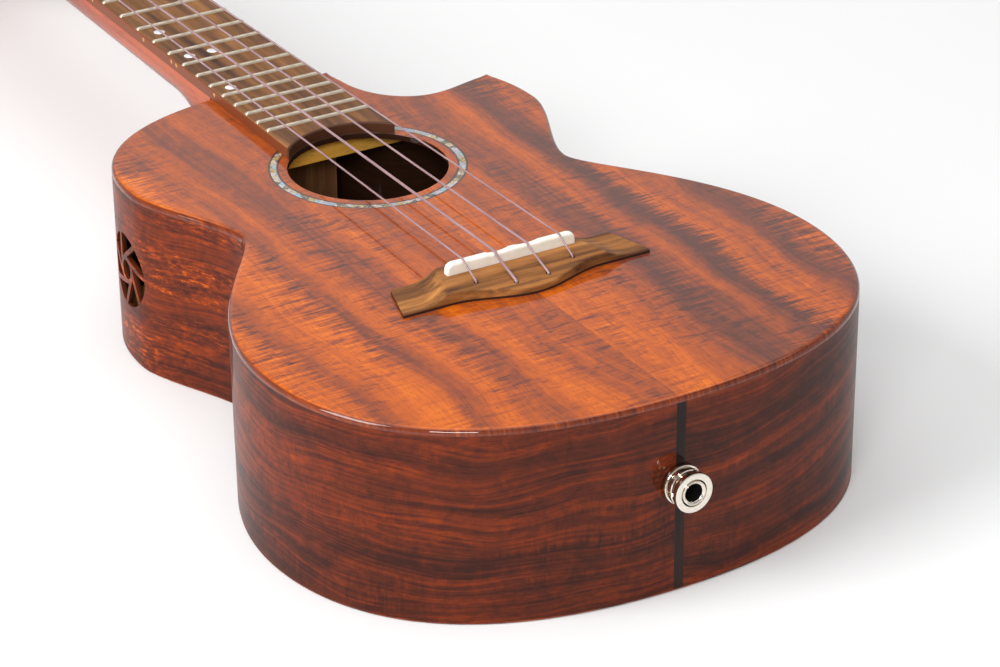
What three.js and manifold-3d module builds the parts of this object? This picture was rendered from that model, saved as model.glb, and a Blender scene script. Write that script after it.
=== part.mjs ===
// Tenor ukulele with a cutaway, a sound port and an end jack, in millimetres.
// +X is the treble side, +Y runs towards the head, +Z is up out of the soundboard.
// The origin is on the outer face of the back, straight below the saddle.
import * as THREE from "three";
import { mergeVertices } from "three/addons/utils/BufferGeometryUtils.js";
import Module from "manifold-3d";

const wasm = await Module();
wasm.setup();

// ---------------------------------------------------------------- driving dimensions

const SCALE_LENGTH = 432;
const FRET_COUNT = 19;
const BODY_JOIN_FRET = 14;

const TAIL_Y = -111.8;
const LOWER_BOUT = { half: 113.6, y: -24.2 };
const WAIST = { half: 68.8, y: 76.3 };
const UPPER_BOUT = { half: 86.5, y: 128.7 };
const DEPTH_TAIL = 75.8;
const DEPTH_NECK = 70.8;
const SIDE_DRAFT = 1.2;

const TOP_T = 2.4;
const BACK_T = 2.6;
const SIDE_T = 2;
const LINING_W = 5;
const LINING_H = 6;
const GLUE = 0.2;

const HOLE = { y: 105.2, r: 30 };
const ROSETTE = { inner: 33.4, outer: 37.2, depth: 0.8 };
const PORT = { y: 138, drop: 34.7, r: 14.5, ring: 5.6, bar: 1.8, blades: 7 };
const JACK = { drop: 33.5, barrelR: 4.8, boreR: 3.25, flangeR: 7.4, grooveR: 6.2, reach: 8.4 };

const BOARD_T = 4.2;
const NUT_WIDTH = 34;
const BOARD_WIDTH_LAST_FRET = 44.5;
const FRET_W = 2.2;
const FRET_H = 1.1;
const NUT_LENGTH = 4.5;
const HEAD_TILT = THREE.MathUtils.degToRad(12);
const HEAD_T = 14;
const VENEER_T = 1.6;

const SADDLE = { x: -0.7, y: 0.5, half: 26.2, t: 3, top: 9.9, seat: 2.6 };
const STRINGS = [
  { name: "string_g", d: 0.75, saddleX: -20.5, nutX: -12.9, holeY: -9.8 },
  { name: "string_c", d: 1.05, saddleX: -7.3, nutX: -4.3, holeY: -15 },
  { name: "string_e", d: 0.85, saddleX: 5.9, nutX: 4.3, holeY: -15 },
  { name: "string_a", d: 0.7, saddleX: 19.1, nutX: 12.9, holeY: -9.8 },
];
const STRING_HOLE_R = 0.9;

const POST = { x: 18, nearY: 42, farY: 92, r: 3, top: 8, clearance: 0.35 };
const GEARBOX = { w: 13, l: 18, h: 8 };

const WOOD = { color: 0x8a3b1c, roughness: 0.25, metalness: 0 };
const DARK_WOOD = { color: 0x6d4225, roughness: 0.55, metalness: 0 };
const PALE_WOOD = { color: 0xc9a063, roughness: 0.7, metalness: 0 };
const NICKEL = { color: 0xd9d4c8, roughness: 0.22, metalness: 1 };
const BONE = { color: 0xf2eee2, roughness: 0.4, metalness: 0 };
const BLACK_WOOD = { color: 0x2b211f, roughness: 0.35, metalness: 0 };
const SHELL = { color: 0xb9b6a8, roughness: 0.3, metalness: 0 };
const NYLON = { color: 0xcdb5b8, roughness: 0.3, metalness: 0 };

// ---------------------------------------------------------------- derived places

const fretY = (fret) => SCALE_LENGTH * 2 ** (-fret / 12);
const NECK_END_Y = fretY(BODY_JOIN_FRET);
const NUT_Y = SCALE_LENGTH;
const BACK_SLOPE = (DEPTH_TAIL - DEPTH_NECK) / (NECK_END_Y - TAIL_Y);
const TOP_Z = DEPTH_TAIL + TAIL_Y * BACK_SLOPE;
const UNDER_TOP_Z = TOP_Z - TOP_T;
const backAt = (height) => (y) => BACK_SLOPE * y + height;
const level = (z) => () => z;
const insideBack = backAt(BACK_T + GLUE);

const root = new THREE.Group();
const head = new THREE.Group();
head.position.set(0, NUT_Y + NUT_LENGTH, TOP_Z);
head.rotation.x = -HEAD_TILT;
head.updateMatrix();
root.add(head);

// ---------------------------------------------------------------- solids

function toSolid(geometry) {
  const bare = new THREE.BufferGeometry();
  bare.setAttribute("position", geometry.getAttribute("position").clone());
  if (geometry.index) bare.setIndex(geometry.index.clone());
  const merged = mergeVertices(bare, 1e-5);
  const mesh = new wasm.Mesh({
    numProp: 3,
    vertProperties: new Float32Array(merged.getAttribute("position").array),
    triVerts: new Uint32Array(merged.index.array),
  });
  return new wasm.Manifold(mesh);
}

function toGeometry(solid) {
  const mesh = solid.getMesh();
  const geometry = new THREE.BufferGeometry();
  geometry.setAttribute("position", new THREE.BufferAttribute(new Float32Array(mesh.vertProperties), 3));
  geometry.setIndex(new THREE.BufferAttribute(new Uint32Array(mesh.triVerts), 1));
  geometry.computeVertexNormals();
  return geometry;
}

function add(name, shape, finish, parent = root) {
  const geometry = shape.isBufferGeometry ? shape : toGeometry(shape);
  const mesh = new THREE.Mesh(geometry, new THREE.MeshStandardMaterial(finish));
  mesh.name = name;
  parent.add(mesh);
}

// A closed skin over rings of the same number of points, each ring convex and counter-clockwise
// when seen from beyond the last ring.
function loft(rings) {
  const count = rings[0].length;
  const positions = rings.flat().flatMap((p) => [p.x, p.y, p.z]);
  const index = [];
  for (let r = 0; r < rings.length - 1; r++) {
    for (let i = 0; i < count; i++) {
      const a = r * count + i;
      const b = r * count + ((i + 1) % count);
      index.push(a, b, b + count, a, b + count, a + count);
    }
  }
  const last = (rings.length - 1) * count;
  for (let i = 1; i < count - 1; i++) {
    index.push(0, i + 1, i);
    index.push(last, last + i, last + i + 1);
  }
  const geometry = new THREE.BufferGeometry();
  geometry.setAttribute("position", new THREE.Float32BufferAttribute(positions, 3));
  geometry.setIndex(index);
  return geometry;
}

// A prism whose lower outline differs from its upper one; the outlines may be concave.
function prism(upper, lower, zUpper, zLower) {
  const count = upper.length;
  const positions = [
    ...upper.flatMap((p) => [p.x, p.y, zUpper]),
    ...lower.flatMap((p) => [p.x, p.y, zLower]),
  ];
  const index = [];
  for (const [a, b, c] of THREE.ShapeUtils.triangulateShape(upper, [])) {
    index.push(a, b, c, count + a, count + c, count + b);
  }
  for (let i = 0; i < count; i++) {
    const next = (i + 1) % count;
    index.push(count + i, count + next, next, count + i, next, i);
  }
  const geometry = new THREE.BufferGeometry();
  geometry.setAttribute("position", new THREE.Float32BufferAttribute(positions, 3));
  geometry.setIndex(index);
  return geometry;
}

// A slab of unlimited width between two surfaces whose height depends on y alone.
function slab(lowAt, highAt) {
  const geometry = new THREE.BoxGeometry(1000, 2000, 2);
  const places = geometry.getAttribute("position");
  for (let i = 0; i < places.count; i++) {
    const heightAt = places.getZ(i) > 0 ? highAt : lowAt;
    places.setZ(i, heightAt(places.getY(i)));
  }
  return toSolid(geometry);
}

function box(xMin, xMax, yMin, yMax, zMin, zMax) {
  const geometry = new THREE.BoxGeometry(xMax - xMin, yMax - yMin, zMax - zMin);
  geometry.translate((xMin + xMax) / 2, (yMin + yMax) / 2, (zMin + zMax) / 2);
  return toSolid(geometry);
}

function extrude(shape, depth, curveSegments = 12) {
  return new THREE.ExtrudeGeometry(shape, { depth, bevelEnabled: false, curveSegments });
}

function upright(radius, x, y, zMin, zMax, sides = 24) {
  const geometry = new THREE.CylinderGeometry(radius, radius, zMax - zMin, sides);
  geometry.rotateX(Math.PI / 2);
  geometry.translate(x, y, (zMin + zMax) / 2);
  return toSolid(geometry);
}

// ---------------------------------------------------------------- body outline

function bezier(x0, y0, x1, y1, x2, y2, x3, y3) {
  const points = [[x0, y0], [x1, y1], [x2, y2], [x3, y3]];
  return new THREE.CubicBezierCurve(...points.map(([x, y]) => new THREE.Vector2(x, y)));
}

const HALF_OUTLINE = [
  { steps: 15, curve: bezier(0, TAIL_Y, 104.7, TAIL_Y, LOWER_BOUT.half, LOWER_BOUT.y - 24.2,
    LOWER_BOUT.half, LOWER_BOUT.y) },
  { steps: 8, curve: bezier(LOWER_BOUT.half, LOWER_BOUT.y, LOWER_BOUT.half, LOWER_BOUT.y + 53.7,
    WAIST.half, WAIST.y - 13, WAIST.half, WAIST.y) },
  { steps: 6, curve: bezier(WAIST.half, WAIST.y, WAIST.half, WAIST.y + 13.4,
    UPPER_BOUT.half, UPPER_BOUT.y - 14.1, UPPER_BOUT.half, UPPER_BOUT.y) },
  { steps: 12, curve: bezier(UPPER_BOUT.half, UPPER_BOUT.y, UPPER_BOUT.half, UPPER_BOUT.y + 17,
    83.2, NECK_END_Y, 0, NECK_END_Y) },
];

const CUTAWAY = [
  { steps: 1, curve: bezier(27.6, NECK_END_Y + 30, 28, NECK_END_Y + 10, 28.4, NECK_END_Y, 30.6, 180.4) },
  { steps: 8, curve: bezier(30.6, 180.4, 31.6, 164.5, 41.8, 151.8, 55.6, 151.8) },
  { steps: 5, curve: bezier(55.6, 151.8, 63.7, 151.8, 70.3, 155.4, 81, 156.2) },
  { steps: 1, curve: bezier(81, 156.2, 91.7, 157, 105, 158, 120, 159) },
];

// Points along joined curves, each moved to the left of its travel by the offset.
function offsetPoints(parts, offset) {
  const points = [];
  for (const [order, { steps, curve }] of parts.entries()) {
    for (let i = order === 0 ? 0 : 1; i <= steps; i++) {
      const along = curve.getTangent(i / steps);
      const normal = new THREE.Vector2(-along.y, along.x);
      points.push(curve.getPoint(i / steps).addScaledVector(normal, offset));
    }
  }
  return points;
}

function outlineRing(inset) {
  const right = offsetPoints(HALF_OUTLINE, inset);
  const left = right.slice(1, -1).reverse().map((p) => new THREE.Vector2(-p.x, p.y));
  return [...right, ...left];
}

// The space beyond the cutaway, grown by the inset towards the body.
function cutawayRing(inset) {
  const edge = offsetPoints(CUTAWAY, -inset);
  const corner = new THREE.Vector2(140, NECK_END_Y + 30);
  return [...edge, new THREE.Vector2(140, edge.at(-1).y), corner];
}

function drafted(ringAt, inset) {
  const zLow = -12;
  const zHigh = TOP_Z + 20;
  const draftPerMm = SIDE_DRAFT / DEPTH_TAIL;
  const upper = ringAt(inset - draftPerMm * (zHigh - TOP_Z));
  const lower = ringAt(inset + draftPerMm * (TOP_Z - zLow));
  return toSolid(prism(upper, lower, zHigh, zLow));
}

const bodySolid = (inset) => drafted(outlineRing, inset).subtract(drafted(cutawayRing, inset));

const outer = bodySolid(0);
const insideSides = bodySolid(SIDE_T + GLUE);
const insideLinings = bodySolid(SIDE_T + LINING_W + 2 * GLUE);
const rimHeight = slab(insideBack, level(UNDER_TOP_Z));

// ---------------------------------------------------------------- boards of the body

const stringHoles = STRINGS.map(({ saddleX, holeY }) => (
  upright(STRING_HOLE_R, saddleX, holeY, UNDER_TOP_Z - 12, TOP_Z + 12, 10)));

function withStringHoles(solid) {
  return stringHoles.reduce((rest, hole) => rest.subtract(hole), solid);
}

function ringShape(inner, outerRadius) {
  const shape = new THREE.Shape();
  shape.absarc(0, 0, outerRadius, 0, 2 * Math.PI);
  const gap = new THREE.Path();
  gap.absarc(0, 0, inner, 0, 2 * Math.PI, true);
  shape.holes.push(gap);
  return shape;
}

function makeSoundboard() {
  const plate = outer.intersect(slab(level(UNDER_TOP_Z), level(TOP_Z)));
  const hole = upright(HOLE.r, 0, HOLE.y, UNDER_TOP_Z - 1, TOP_Z + 1, 64);
  const channel = extrude(ringShape(ROSETTE.inner, ROSETTE.outer), ROSETTE.depth + 1, 32);
  channel.translate(0, HOLE.y, TOP_Z - ROSETTE.depth);
  add("soundboard", withStringHoles(plate.subtract(hole).subtract(toSolid(channel))), WOOD);
  const rosette = extrude(ringShape(ROSETTE.inner, ROSETTE.outer), ROSETTE.depth, 32);
  rosette.translate(0, HOLE.y, TOP_Z - ROSETTE.depth);
  add("rosette", rosette, SHELL);
}

// The port's openings: a disc less a pinwheel of bars and the ring that ties them.
function portOpenings() {
  const disc = new THREE.Shape().absarc(0, 0, PORT.r, 0, 2 * Math.PI);
  let openings = toSolid(extrude(disc, 40, 20));
  openings = openings.subtract(toSolid(extrude(ringShape(PORT.ring - PORT.bar, PORT.ring), 40, 16)));
  const reach = PORT.r + 4;
  for (let i = 0; i < PORT.blades; i++) {
    const bar = new THREE.BoxGeometry(reach, PORT.bar, 42);
    bar.translate(reach / 2, PORT.ring - PORT.bar / 2, 20);
    bar.rotateZ((2 * Math.PI * i) / PORT.blades);
    openings = openings.subtract(toSolid(bar));
  }
  const place = new THREE.Matrix4().makeRotationY(-Math.PI / 2);
  place.setPosition(-UPPER_BOUT.half + 20, PORT.y, TOP_Z - PORT.drop);
  return openings.transform(place.elements);
}

function jackHole(radius) {
  const geometry = new THREE.CylinderGeometry(radius, radius, 60, 32);
  geometry.translate(0, TAIL_Y, TOP_Z - JACK.drop);
  return toSolid(geometry);
}

function makeSides() {
  const rim = outer.subtract(bodySolid(SIDE_T)).intersect(rimHeight);
  const graftZone = box(-1.9, 1.9, TAIL_Y - 5, TAIL_Y + 10, -20, TOP_Z);
  const pastCentre = box(-1, 60, NECK_END_Y - 8, 250, -20, TOP_Z);
  const bass = box(-150, 0, -150, 250, -20, TOP_Z).add(pastCentre);
  const cutaway = drafted(cutawayRing, SIDE_T + GLUE);
  const jack = jackHole(JACK.barrelR + 0.1);
  const bent = rim.subtract(graftZone).subtract(cutaway).subtract(jack);
  add("side_bass", bent.intersect(bass).subtract(portOpenings()), WOOD);
  add("side_treble", bent.subtract(bass), WOOD);
  add("side_cutaway", rim.intersect(cutaway), WOOD);
}

function makeEndGraft() {
  const rim = outer.subtract(bodySolid(SIDE_T)).intersect(rimHeight);
  const zone = box(-1.9, 1.9, TAIL_Y - 5, TAIL_Y + 10, -20, TOP_Z);
  const upperHalf = box(-10, 10, TAIL_Y - 9, TAIL_Y + 9, TOP_Z - JACK.drop, TOP_Z);
  const strip = rim.intersect(zone).subtract(jackHole(JACK.barrelR + 0.1));
  add("end_graft_upper", strip.intersect(upperHalf), BLACK_WOOD);
  add("end_graft_lower", strip.subtract(upperHalf), BLACK_WOOD);
}

function makeBack() {
  add("back_plate", outer.intersect(slab(backAt(0), backAt(BACK_T))), WOOD);
}

// ---------------------------------------------------------------- inside the body

const liningZones = slab(level(UNDER_TOP_Z - LINING_H), level(UNDER_TOP_Z));
const backLiningZone = slab(insideBack, backAt(BACK_T + GLUE + LINING_H));

function makeLinings() {
  const strip = insideSides.subtract(bodySolid(SIDE_T + GLUE + LINING_W));
  add("lining_top", strip.intersect(liningZones), PALE_WOOD);
  add("lining_back", strip.intersect(backLiningZone), PALE_WOOD);
}

// A block glued to the sides, notched over the linings.
function fittedBlock(blank) {
  const betweenLinings = slab(backAt(BACK_T + 2 * GLUE + LINING_H), level(UNDER_TOP_Z - LINING_H - GLUE));
  const core = blank.intersect(insideLinings).intersect(rimHeight);
  return core.add(blank.intersect(insideSides).intersect(betweenLinings));
}

function makeBlocks() {
  add("neck_block", fittedBlock(box(-22.5, 22.5, 172, 200, -20, TOP_Z)), DARK_WOOD);
  const tail = fittedBlock(box(-27, 27, TAIL_Y - 5, TAIL_Y + 16, -20, TOP_Z));
  add("tail_block", tail.subtract(jackHole(JACK.barrelR + 0.1)), PALE_WOOD);
}

function makeBraces() {
  const under = (y, width, height) => (
    box(-150, 150, y - width / 2, y + width / 2, UNDER_TOP_Z - height, UNDER_TOP_Z));
  add("upper_brace", under(146, 6, 10.5).intersect(insideLinings), PALE_WOOD);
  add("lower_brace", under(66, 6, 9).intersect(insideLinings), PALE_WOOD);
  add("bridge_plate", withStringHoles(box(-46, 46, -26, 12, UNDER_TOP_Z - 2.2, UNDER_TOP_Z)), PALE_WOOD);
  const back = slab(insideBack, backAt(BACK_T + GLUE + 12));
  const across = (y) => box(-150, 150, y - 3.5, y + 3.5, -20, TOP_Z).intersect(back).intersect(insideLinings);
  add("back_brace_upper", across(118), PALE_WOOD);
  add("back_brace_lower", across(-14), PALE_WOOD);
}

// ---------------------------------------------------------------- end jack

function lathe(profile, sides) {
  return new THREE.LatheGeometry(profile.map(([r, y]) => new THREE.Vector2(r, y)), sides);
}

function makeJack() {
  const { barrelR, boreR, flangeR, grooveR, reach, drop } = JACK;
  const inside = 32;
  const barrel = lathe([
    [0, inside], [0, inside - 3], [boreR, inside - 3], [boreR, -reach - 0.2],
    [barrelR, -reach - 0.2], [barrelR, inside], [0, inside],
  ], 32);
  barrel.translate(0, TAIL_Y, TOP_Z - drop);
  add("jack_barrel", barrel, NICKEL);
  const bore = barrelR + 0.1;
  const collar = lathe([
    [bore, -0.1], [bore, -reach], [flangeR - 0.3, -reach], [flangeR, -reach + 0.3], [flangeR, -6.2],
    [grooveR, -5.8], [grooveR, -5.2], [flangeR - 0.5, -4.9], [flangeR - 0.5, -2.6], [grooveR, -2.2],
    [grooveR, -1.4], [flangeR, -1], [flangeR, -0.1], [bore, -0.1],
  ], 32);
  collar.translate(0, TAIL_Y, TOP_Z - drop);
  add("jack_collar", collar, NICKEL);
}

// ---------------------------------------------------------------- neck and fretboard

function boardHalf(y) {
  const share = (NUT_Y - y) / (NUT_Y - fretY(FRET_COUNT));
  return (NUT_WIDTH + (BOARD_WIDTH_LAST_FRET - NUT_WIDTH) * share) / 2;
}

// A half-round section under the board: flat on top and bellied below.
function neckRing(y, depth) {
  const ring = [];
  const steps = 12;
  for (let i = 0; i <= steps; i++) {
    const angle = (Math.PI * i) / steps;
    const x = boardHalf(y) * Math.cos(angle);
    ring.push(new THREE.Vector3(x, y, TOP_Z - depth * Math.sin(angle) ** 0.85));
  }
  return ring;
}

function headShape(startY) {
  const shape = new THREE.Shape();
  const base = NUT_WIDTH / 2 + 0.5;
  shape.moveTo(-base, startY);
  shape.lineTo(base, startY);
  shape.bezierCurveTo(base + 1, 12, 30, 14, 31, 26);
  shape.lineTo(28.5, 118);
  shape.quadraticCurveTo(28, 128, 18, 129.5);
  shape.quadraticCurveTo(0, 134, -18, 129.5);
  shape.quadraticCurveTo(-28, 128, -28.5, 118);
  shape.lineTo(-31, 26);
  shape.bezierCurveTo(-30, 14, -base - 1, 12, -base, startY);
  return shape;
}

const POST_PLACES = [
  { x: -POST.x, y: POST.nearY },
  { x: -POST.x, y: POST.farY },
  { x: POST.x, y: POST.farY },
  { x: POST.x, y: POST.nearY },
];

function withPostHoles(solid) {
  const radius = POST.r + POST.clearance;
  return POST_PLACES.reduce((rest, { x, y }) => rest.subtract(upright(radius, x, y, -40, 20)), solid);
}

function makeNeck() {
  const heelStartY = 236;
  const shaft = [neckRing(NECK_END_Y - 8, 78.5)];
  for (const share of [1, 0.88, 0.75, 0.6, 0.4, 0.2]) {
    const y = THREE.MathUtils.lerp(heelStartY, NECK_END_Y, share);
    shaft.push(neckRing(y, 18.5 + 60 * share ** 3.2));
  }
  const stations = [[heelStartY, 18.5], [285, 17.8], [335, 17], [385, 16.2], [428, 15.6]];
  const volute = [[438, 16.6], [449, 18], [461, 18.4]];
  shaft.push(...[...stations, ...volute].map(([y, depth]) => neckRing(y, depth)));
  const aboveHead = box(-40, 40, 0.4, 60, -VENEER_T - GLUE, 30).transform(head.matrix.elements);
  const heelFloor = slab(backAt(1), level(TOP_Z));
  const bare = toSolid(loft(shaft)).intersect(heelFloor).subtract(bodySolid(-GLUE)).subtract(aboveHead);
  const blank = extrude(headShape(-2), HEAD_T - VENEER_T - GLUE, 8);
  blank.translate(0, 0, -HEAD_T);
  const headSolid = withPostHoles(toSolid(blank)).transform(head.matrix.elements);
  add("neck", bare.add(headSolid), WOOD);
  const veneer = extrude(headShape(0.8), VENEER_T, 8);
  veneer.translate(0, 0, -VENEER_T);
  add("head_veneer", withPostHoles(toSolid(veneer)), BLACK_WOOD, head);
}

function makeFretboard() {
  const endY = HOLE.y + 20;
  const board = new THREE.Shape();
  board.moveTo(-boardHalf(endY), endY);
  board.lineTo(boardHalf(endY), endY);
  board.lineTo(boardHalf(NUT_Y), NUT_Y);
  board.lineTo(-boardHalf(NUT_Y), NUT_Y);
  const blank = extrude(board, BOARD_T);
  blank.translate(0, 0, TOP_Z);
  let solid = toSolid(blank).subtract(upright(HOLE.r + 0.8, 0, HOLE.y, TOP_Z - 1, TOP_Z + 9, 64));
  for (let fret = 1; fret <= FRET_COUNT; fret++) {
    const y = fretY(fret);
    solid = solid.subtract(box(-40, 40, y - 0.35, y + 0.35, TOP_Z + BOARD_T - 2, TOP_Z + BOARD_T + 1));
  }
  add("fretboard", solid, DARK_WOOD);
}

// A fret: a domed crown on the board and a tang in its slot.
function makeFrets() {
  for (let fret = 1; fret <= FRET_COUNT; fret++) {
    const half = boardHalf(fretY(fret)) - 0.4;
    const section = new THREE.Shape();
    section.moveTo(-0.3, 0);
    section.lineTo(-0.3, -1.7);
    section.lineTo(0.3, -1.7);
    section.lineTo(0.3, 0);
    section.lineTo(FRET_W / 2, 0);
    section.absellipse(0, 0, FRET_W / 2, FRET_H, 0, Math.PI, false, 0);
    const bar = extrude(section, 2 * half, 4);
    bar.rotateX(Math.PI / 2);
    bar.rotateZ(Math.PI / 2);
    bar.translate(-half, fretY(fret), TOP_Z + BOARD_T);
    add(`fret_${String(fret).padStart(2, "0")}`, bar, NICKEL);
  }
}

function makeNut() {
  const top = BOARD_T + 2.4;
  const half = NUT_WIDTH / 2;
  let nut = box(-half, half, NUT_Y, NUT_Y + NUT_LENGTH, TOP_Z, TOP_Z + top);
  for (const { nutX, d } of STRINGS) {
    const slot = d / 2 + 0.2;
    nut = nut.subtract(box(nutX - slot, nutX + slot, NUT_Y - 1, NUT_Y + 9, TOP_Z + BOARD_T + 1, TOP_Z + 20));
  }
  add("nut", nut, BONE);
}

// ---------------------------------------------------------------- bridge and saddle

const BRIDGE = { front: 7.2, wingRear: -12.2, halfFront: 44.8, halfRear: 50.6, belly: 7.2, block: 31 };

function bridgeRing(place) {
  const { front, wingRear, halfFront, halfRear, belly, block } = BRIDGE;
  const away = Math.abs(place) * halfRear;
  const bulge = away < block ? belly * Math.cos((Math.PI * away) / (2 * block)) ** 2 : 0;
  const wing = Math.max(0, (away - block) / (halfRear - block));
  const crest = away < block ? 5.4 : 1.4 + 3.4 * (1 - wing) ** 1.7;
  const rearTop = away < block ? 4.4 - 1.7 * (bulge / belly) : crest;
  const rear = wingRear - bulge;
  const at = (y, z) => {
    const share = (front - y) / (front - wingRear);
    const half = THREE.MathUtils.lerp(halfFront, halfRear, Math.min(share, 1));
    return new THREE.Vector3(SADDLE.x + place * half, y, TOP_Z + z);
  };
  const middle = (crest * 2 + rearTop) / 3;
  return [at(front, 0), at(front, crest), at(-5, crest), at(-9.3 - bulge / 2, middle), at(rear, rearTop),
    at(rear, 0)];
}

function makeBridge() {
  const rings = [];
  for (const share of [0, 0.14, 0.28, 0.42, 0.52, 0.61, 0.66, 0.74, 0.86, 1]) {
    rings.push(bridgeRing(share));
    if (share > 0) rings.unshift(bridgeRing(-share));
  }
  const { x, y, half, t, seat } = SADDLE;
  const slot = box(x - half - 0.1, x + half + 0.1, y - t / 2 - 0.1, y + t / 2 + 0.1, TOP_Z + seat, TOP_Z + 20);
  add("bridge", withStringHoles(toSolid(loft(rings)).subtract(slot)), DARK_WOOD);
}

function makeSaddle() {
  const { x, y, half, t, top, seat } = SADDLE;
  const face = new THREE.Shape();
  const corner = 2.2;
  face.moveTo(-half, seat + 0.1);
  face.lineTo(half, seat + 0.1);
  face.lineTo(half, top - corner - 0.8);
  face.quadraticCurveTo(half, top - 0.8, half - corner, top - 0.6);
  face.quadraticCurveTo(0, top + 0.6, -half + corner, top - 0.6);
  face.quadraticCurveTo(-half, top - 0.8, -half, top - corner - 0.8);
  const bar = extrude(face, t, 10);
  bar.rotateX(Math.PI / 2);
  bar.translate(x, y + t / 2, TOP_Z);
  add("saddle", bar, BONE);
}

// ---------------------------------------------------------------- strings

// A round cord with a ring at each point of its route, square to the way it turns there.
function cord(points, diameter, sides = 8) {
  const rings = points.map((point, i) => {
    const before = points[Math.max(i - 1, 0)];
    const after = points[Math.min(i + 1, points.length - 1)];
    const inward = point.clone().sub(before).normalize();
    const outward = after.clone().sub(point).normalize();
    const along = inward.add(outward).normalize();
    const side = new THREE.Vector3(1, 0, 0).addScaledVector(along, -along.x).normalize();
    const up = new THREE.Vector3().crossVectors(along, side);
    return Array.from({ length: sides }, (_, k) => {
      const angle = (2 * Math.PI * k) / sides;
      const offset = side.clone().multiplyScalar(Math.cos(angle)).addScaledVector(up, Math.sin(angle));
      return point.clone().addScaledVector(offset, diameter / 2);
    });
  });
  return loft(rings);
}

function headPoint(x, y, z) {
  return new THREE.Vector3(x, y, z).applyMatrix4(head.matrix);
}

function makeStrings() {
  STRINGS.forEach(({ name, d, saddleX, nutX, holeY }, i) => {
    const r = d / 2;
    const post = POST_PLACES[i];
    const inner = Math.sign(post.x) * (Math.abs(post.x) - POST.r - 0.35 - r);
    const saddleTop = TOP_Z + SADDLE.top + 0.35 + r;
    const nutTop = TOP_Z + BOARD_T + 1.3 + r;
    const holeTop = TOP_Z + 5.9;
    const { y } = SADDLE;
    const knotZ = UNDER_TOP_Z - 5;
    const route = [
      new THREE.Vector3(saddleX, holeY, knotZ),
      new THREE.Vector3(saddleX, holeY, holeTop - 1),
      new THREE.Vector3(saddleX, holeY + 0.5, holeTop),
      new THREE.Vector3(saddleX, y - 2.2, saddleTop - 0.9),
      new THREE.Vector3(saddleX, y - 0.9, saddleTop - 0.1),
      new THREE.Vector3(saddleX, y + 0.8, saddleTop),
      new THREE.Vector3(nutX, NUT_Y + 0.6, nutTop),
      new THREE.Vector3(nutX, NUT_Y + NUT_LENGTH - 0.3, nutTop - 0.1),
      headPoint(inner, post.y, 4.6),
    ];
    const knot = new THREE.SphereGeometry(1.7, 10, 8);
    knot.translate(saddleX, holeY, knotZ);
    add(name, toSolid(cord(route, d)).add(toSolid(knot)), NYLON);
  });
}

// ---------------------------------------------------------------- tuners

function makePost(name, { x, y }) {
  const base = -HEAD_T - 0.4;
  const { r, top } = POST;
  const body = lathe([[0, base], [r, base], [r, top - 3.6], [r - 0.8, top - 2.6], [r - 0.8, top - 1.4],
    [r, top - 0.6], [r - 0.5, top], [0, top]], 16);
  body.rotateX(Math.PI / 2);
  body.translate(x, y, 0);
  add(name, body, NICKEL, head);
}

function makeGearbox(name, { x, y }) {
  const { w, l, h } = GEARBOX;
  const face = new THREE.Shape();
  const corner = 3;
  face.moveTo(-w / 2 + corner, -l / 2);
  face.lineTo(w / 2, -l / 2);
  face.lineTo(w / 2, l / 2);
  face.lineTo(-w / 2 + corner, l / 2);
  face.quadraticCurveTo(-w / 2, l / 2, -w / 2, l / 2 - corner);
  face.lineTo(-w / 2, -l / 2 + corner);
  face.quadraticCurveTo(-w / 2, -l / 2, -w / 2 + corner, -l / 2);
  const blank = extrude(face, h, 3);
  if (x < 0) blank.rotateZ(Math.PI);
  blank.translate(x, y, -HEAD_T - 0.8 - h);
  add(name, blank, NICKEL, head);
}

const BUTTON_Z = -HEAD_T - 0.8 - GEARBOX.h / 2;

function makeButton(name, { x, y }) {
  const outward = Math.sign(x);
  const shaftStart = GEARBOX.w / 2 + 0.3;
  const shaft = lathe([[0, shaftStart], [2, shaftStart], [2, 12], [3.2, 12.6], [3.2, 14], [0, 14]], 16);
  const knob = lathe([[0, 13], [4, 13.4], [7.4, 17], [8.4, 21], [7.6, 25], [4.6, 28], [0, 29]], 20);
  knob.scale(1, 1, 0.5);
  const button = toGeometry(toSolid(shaft).add(toSolid(knob)));
  button.rotateZ(-Math.PI / 2 * outward);
  button.translate(x, y, BUTTON_Z);
  add(name, button, NICKEL, head);
}

function makeTuners() {
  POST_PLACES.forEach((place, i) => {
    const side = STRINGS[i].name.split("_")[1];
    makePost(`post_${side}`, place);
    makeGearbox(`gearbox_${side}`, place);
    makeButton(`button_${side}`, place);
  });
}

// ---------------------------------------------------------------- assembly

makeSoundboard();
makeSides();
makeEndGraft();
makeBack();
makeLinings();
makeBlocks();
makeBraces();
makeJack();
makeNeck();
makeFretboard();
makeFrets();
makeNut();
makeBridge();
makeSaddle();
makeStrings();
makeTuners();

export default root;
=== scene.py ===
"""A tenor ukulele's looks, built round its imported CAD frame. Lengths are millimetres until a mesh is made."""
import math

import bmesh
import bpy
import numpy as np
from mathutils import Matrix, Vector
from mathutils.kdtree import KDTree


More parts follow.
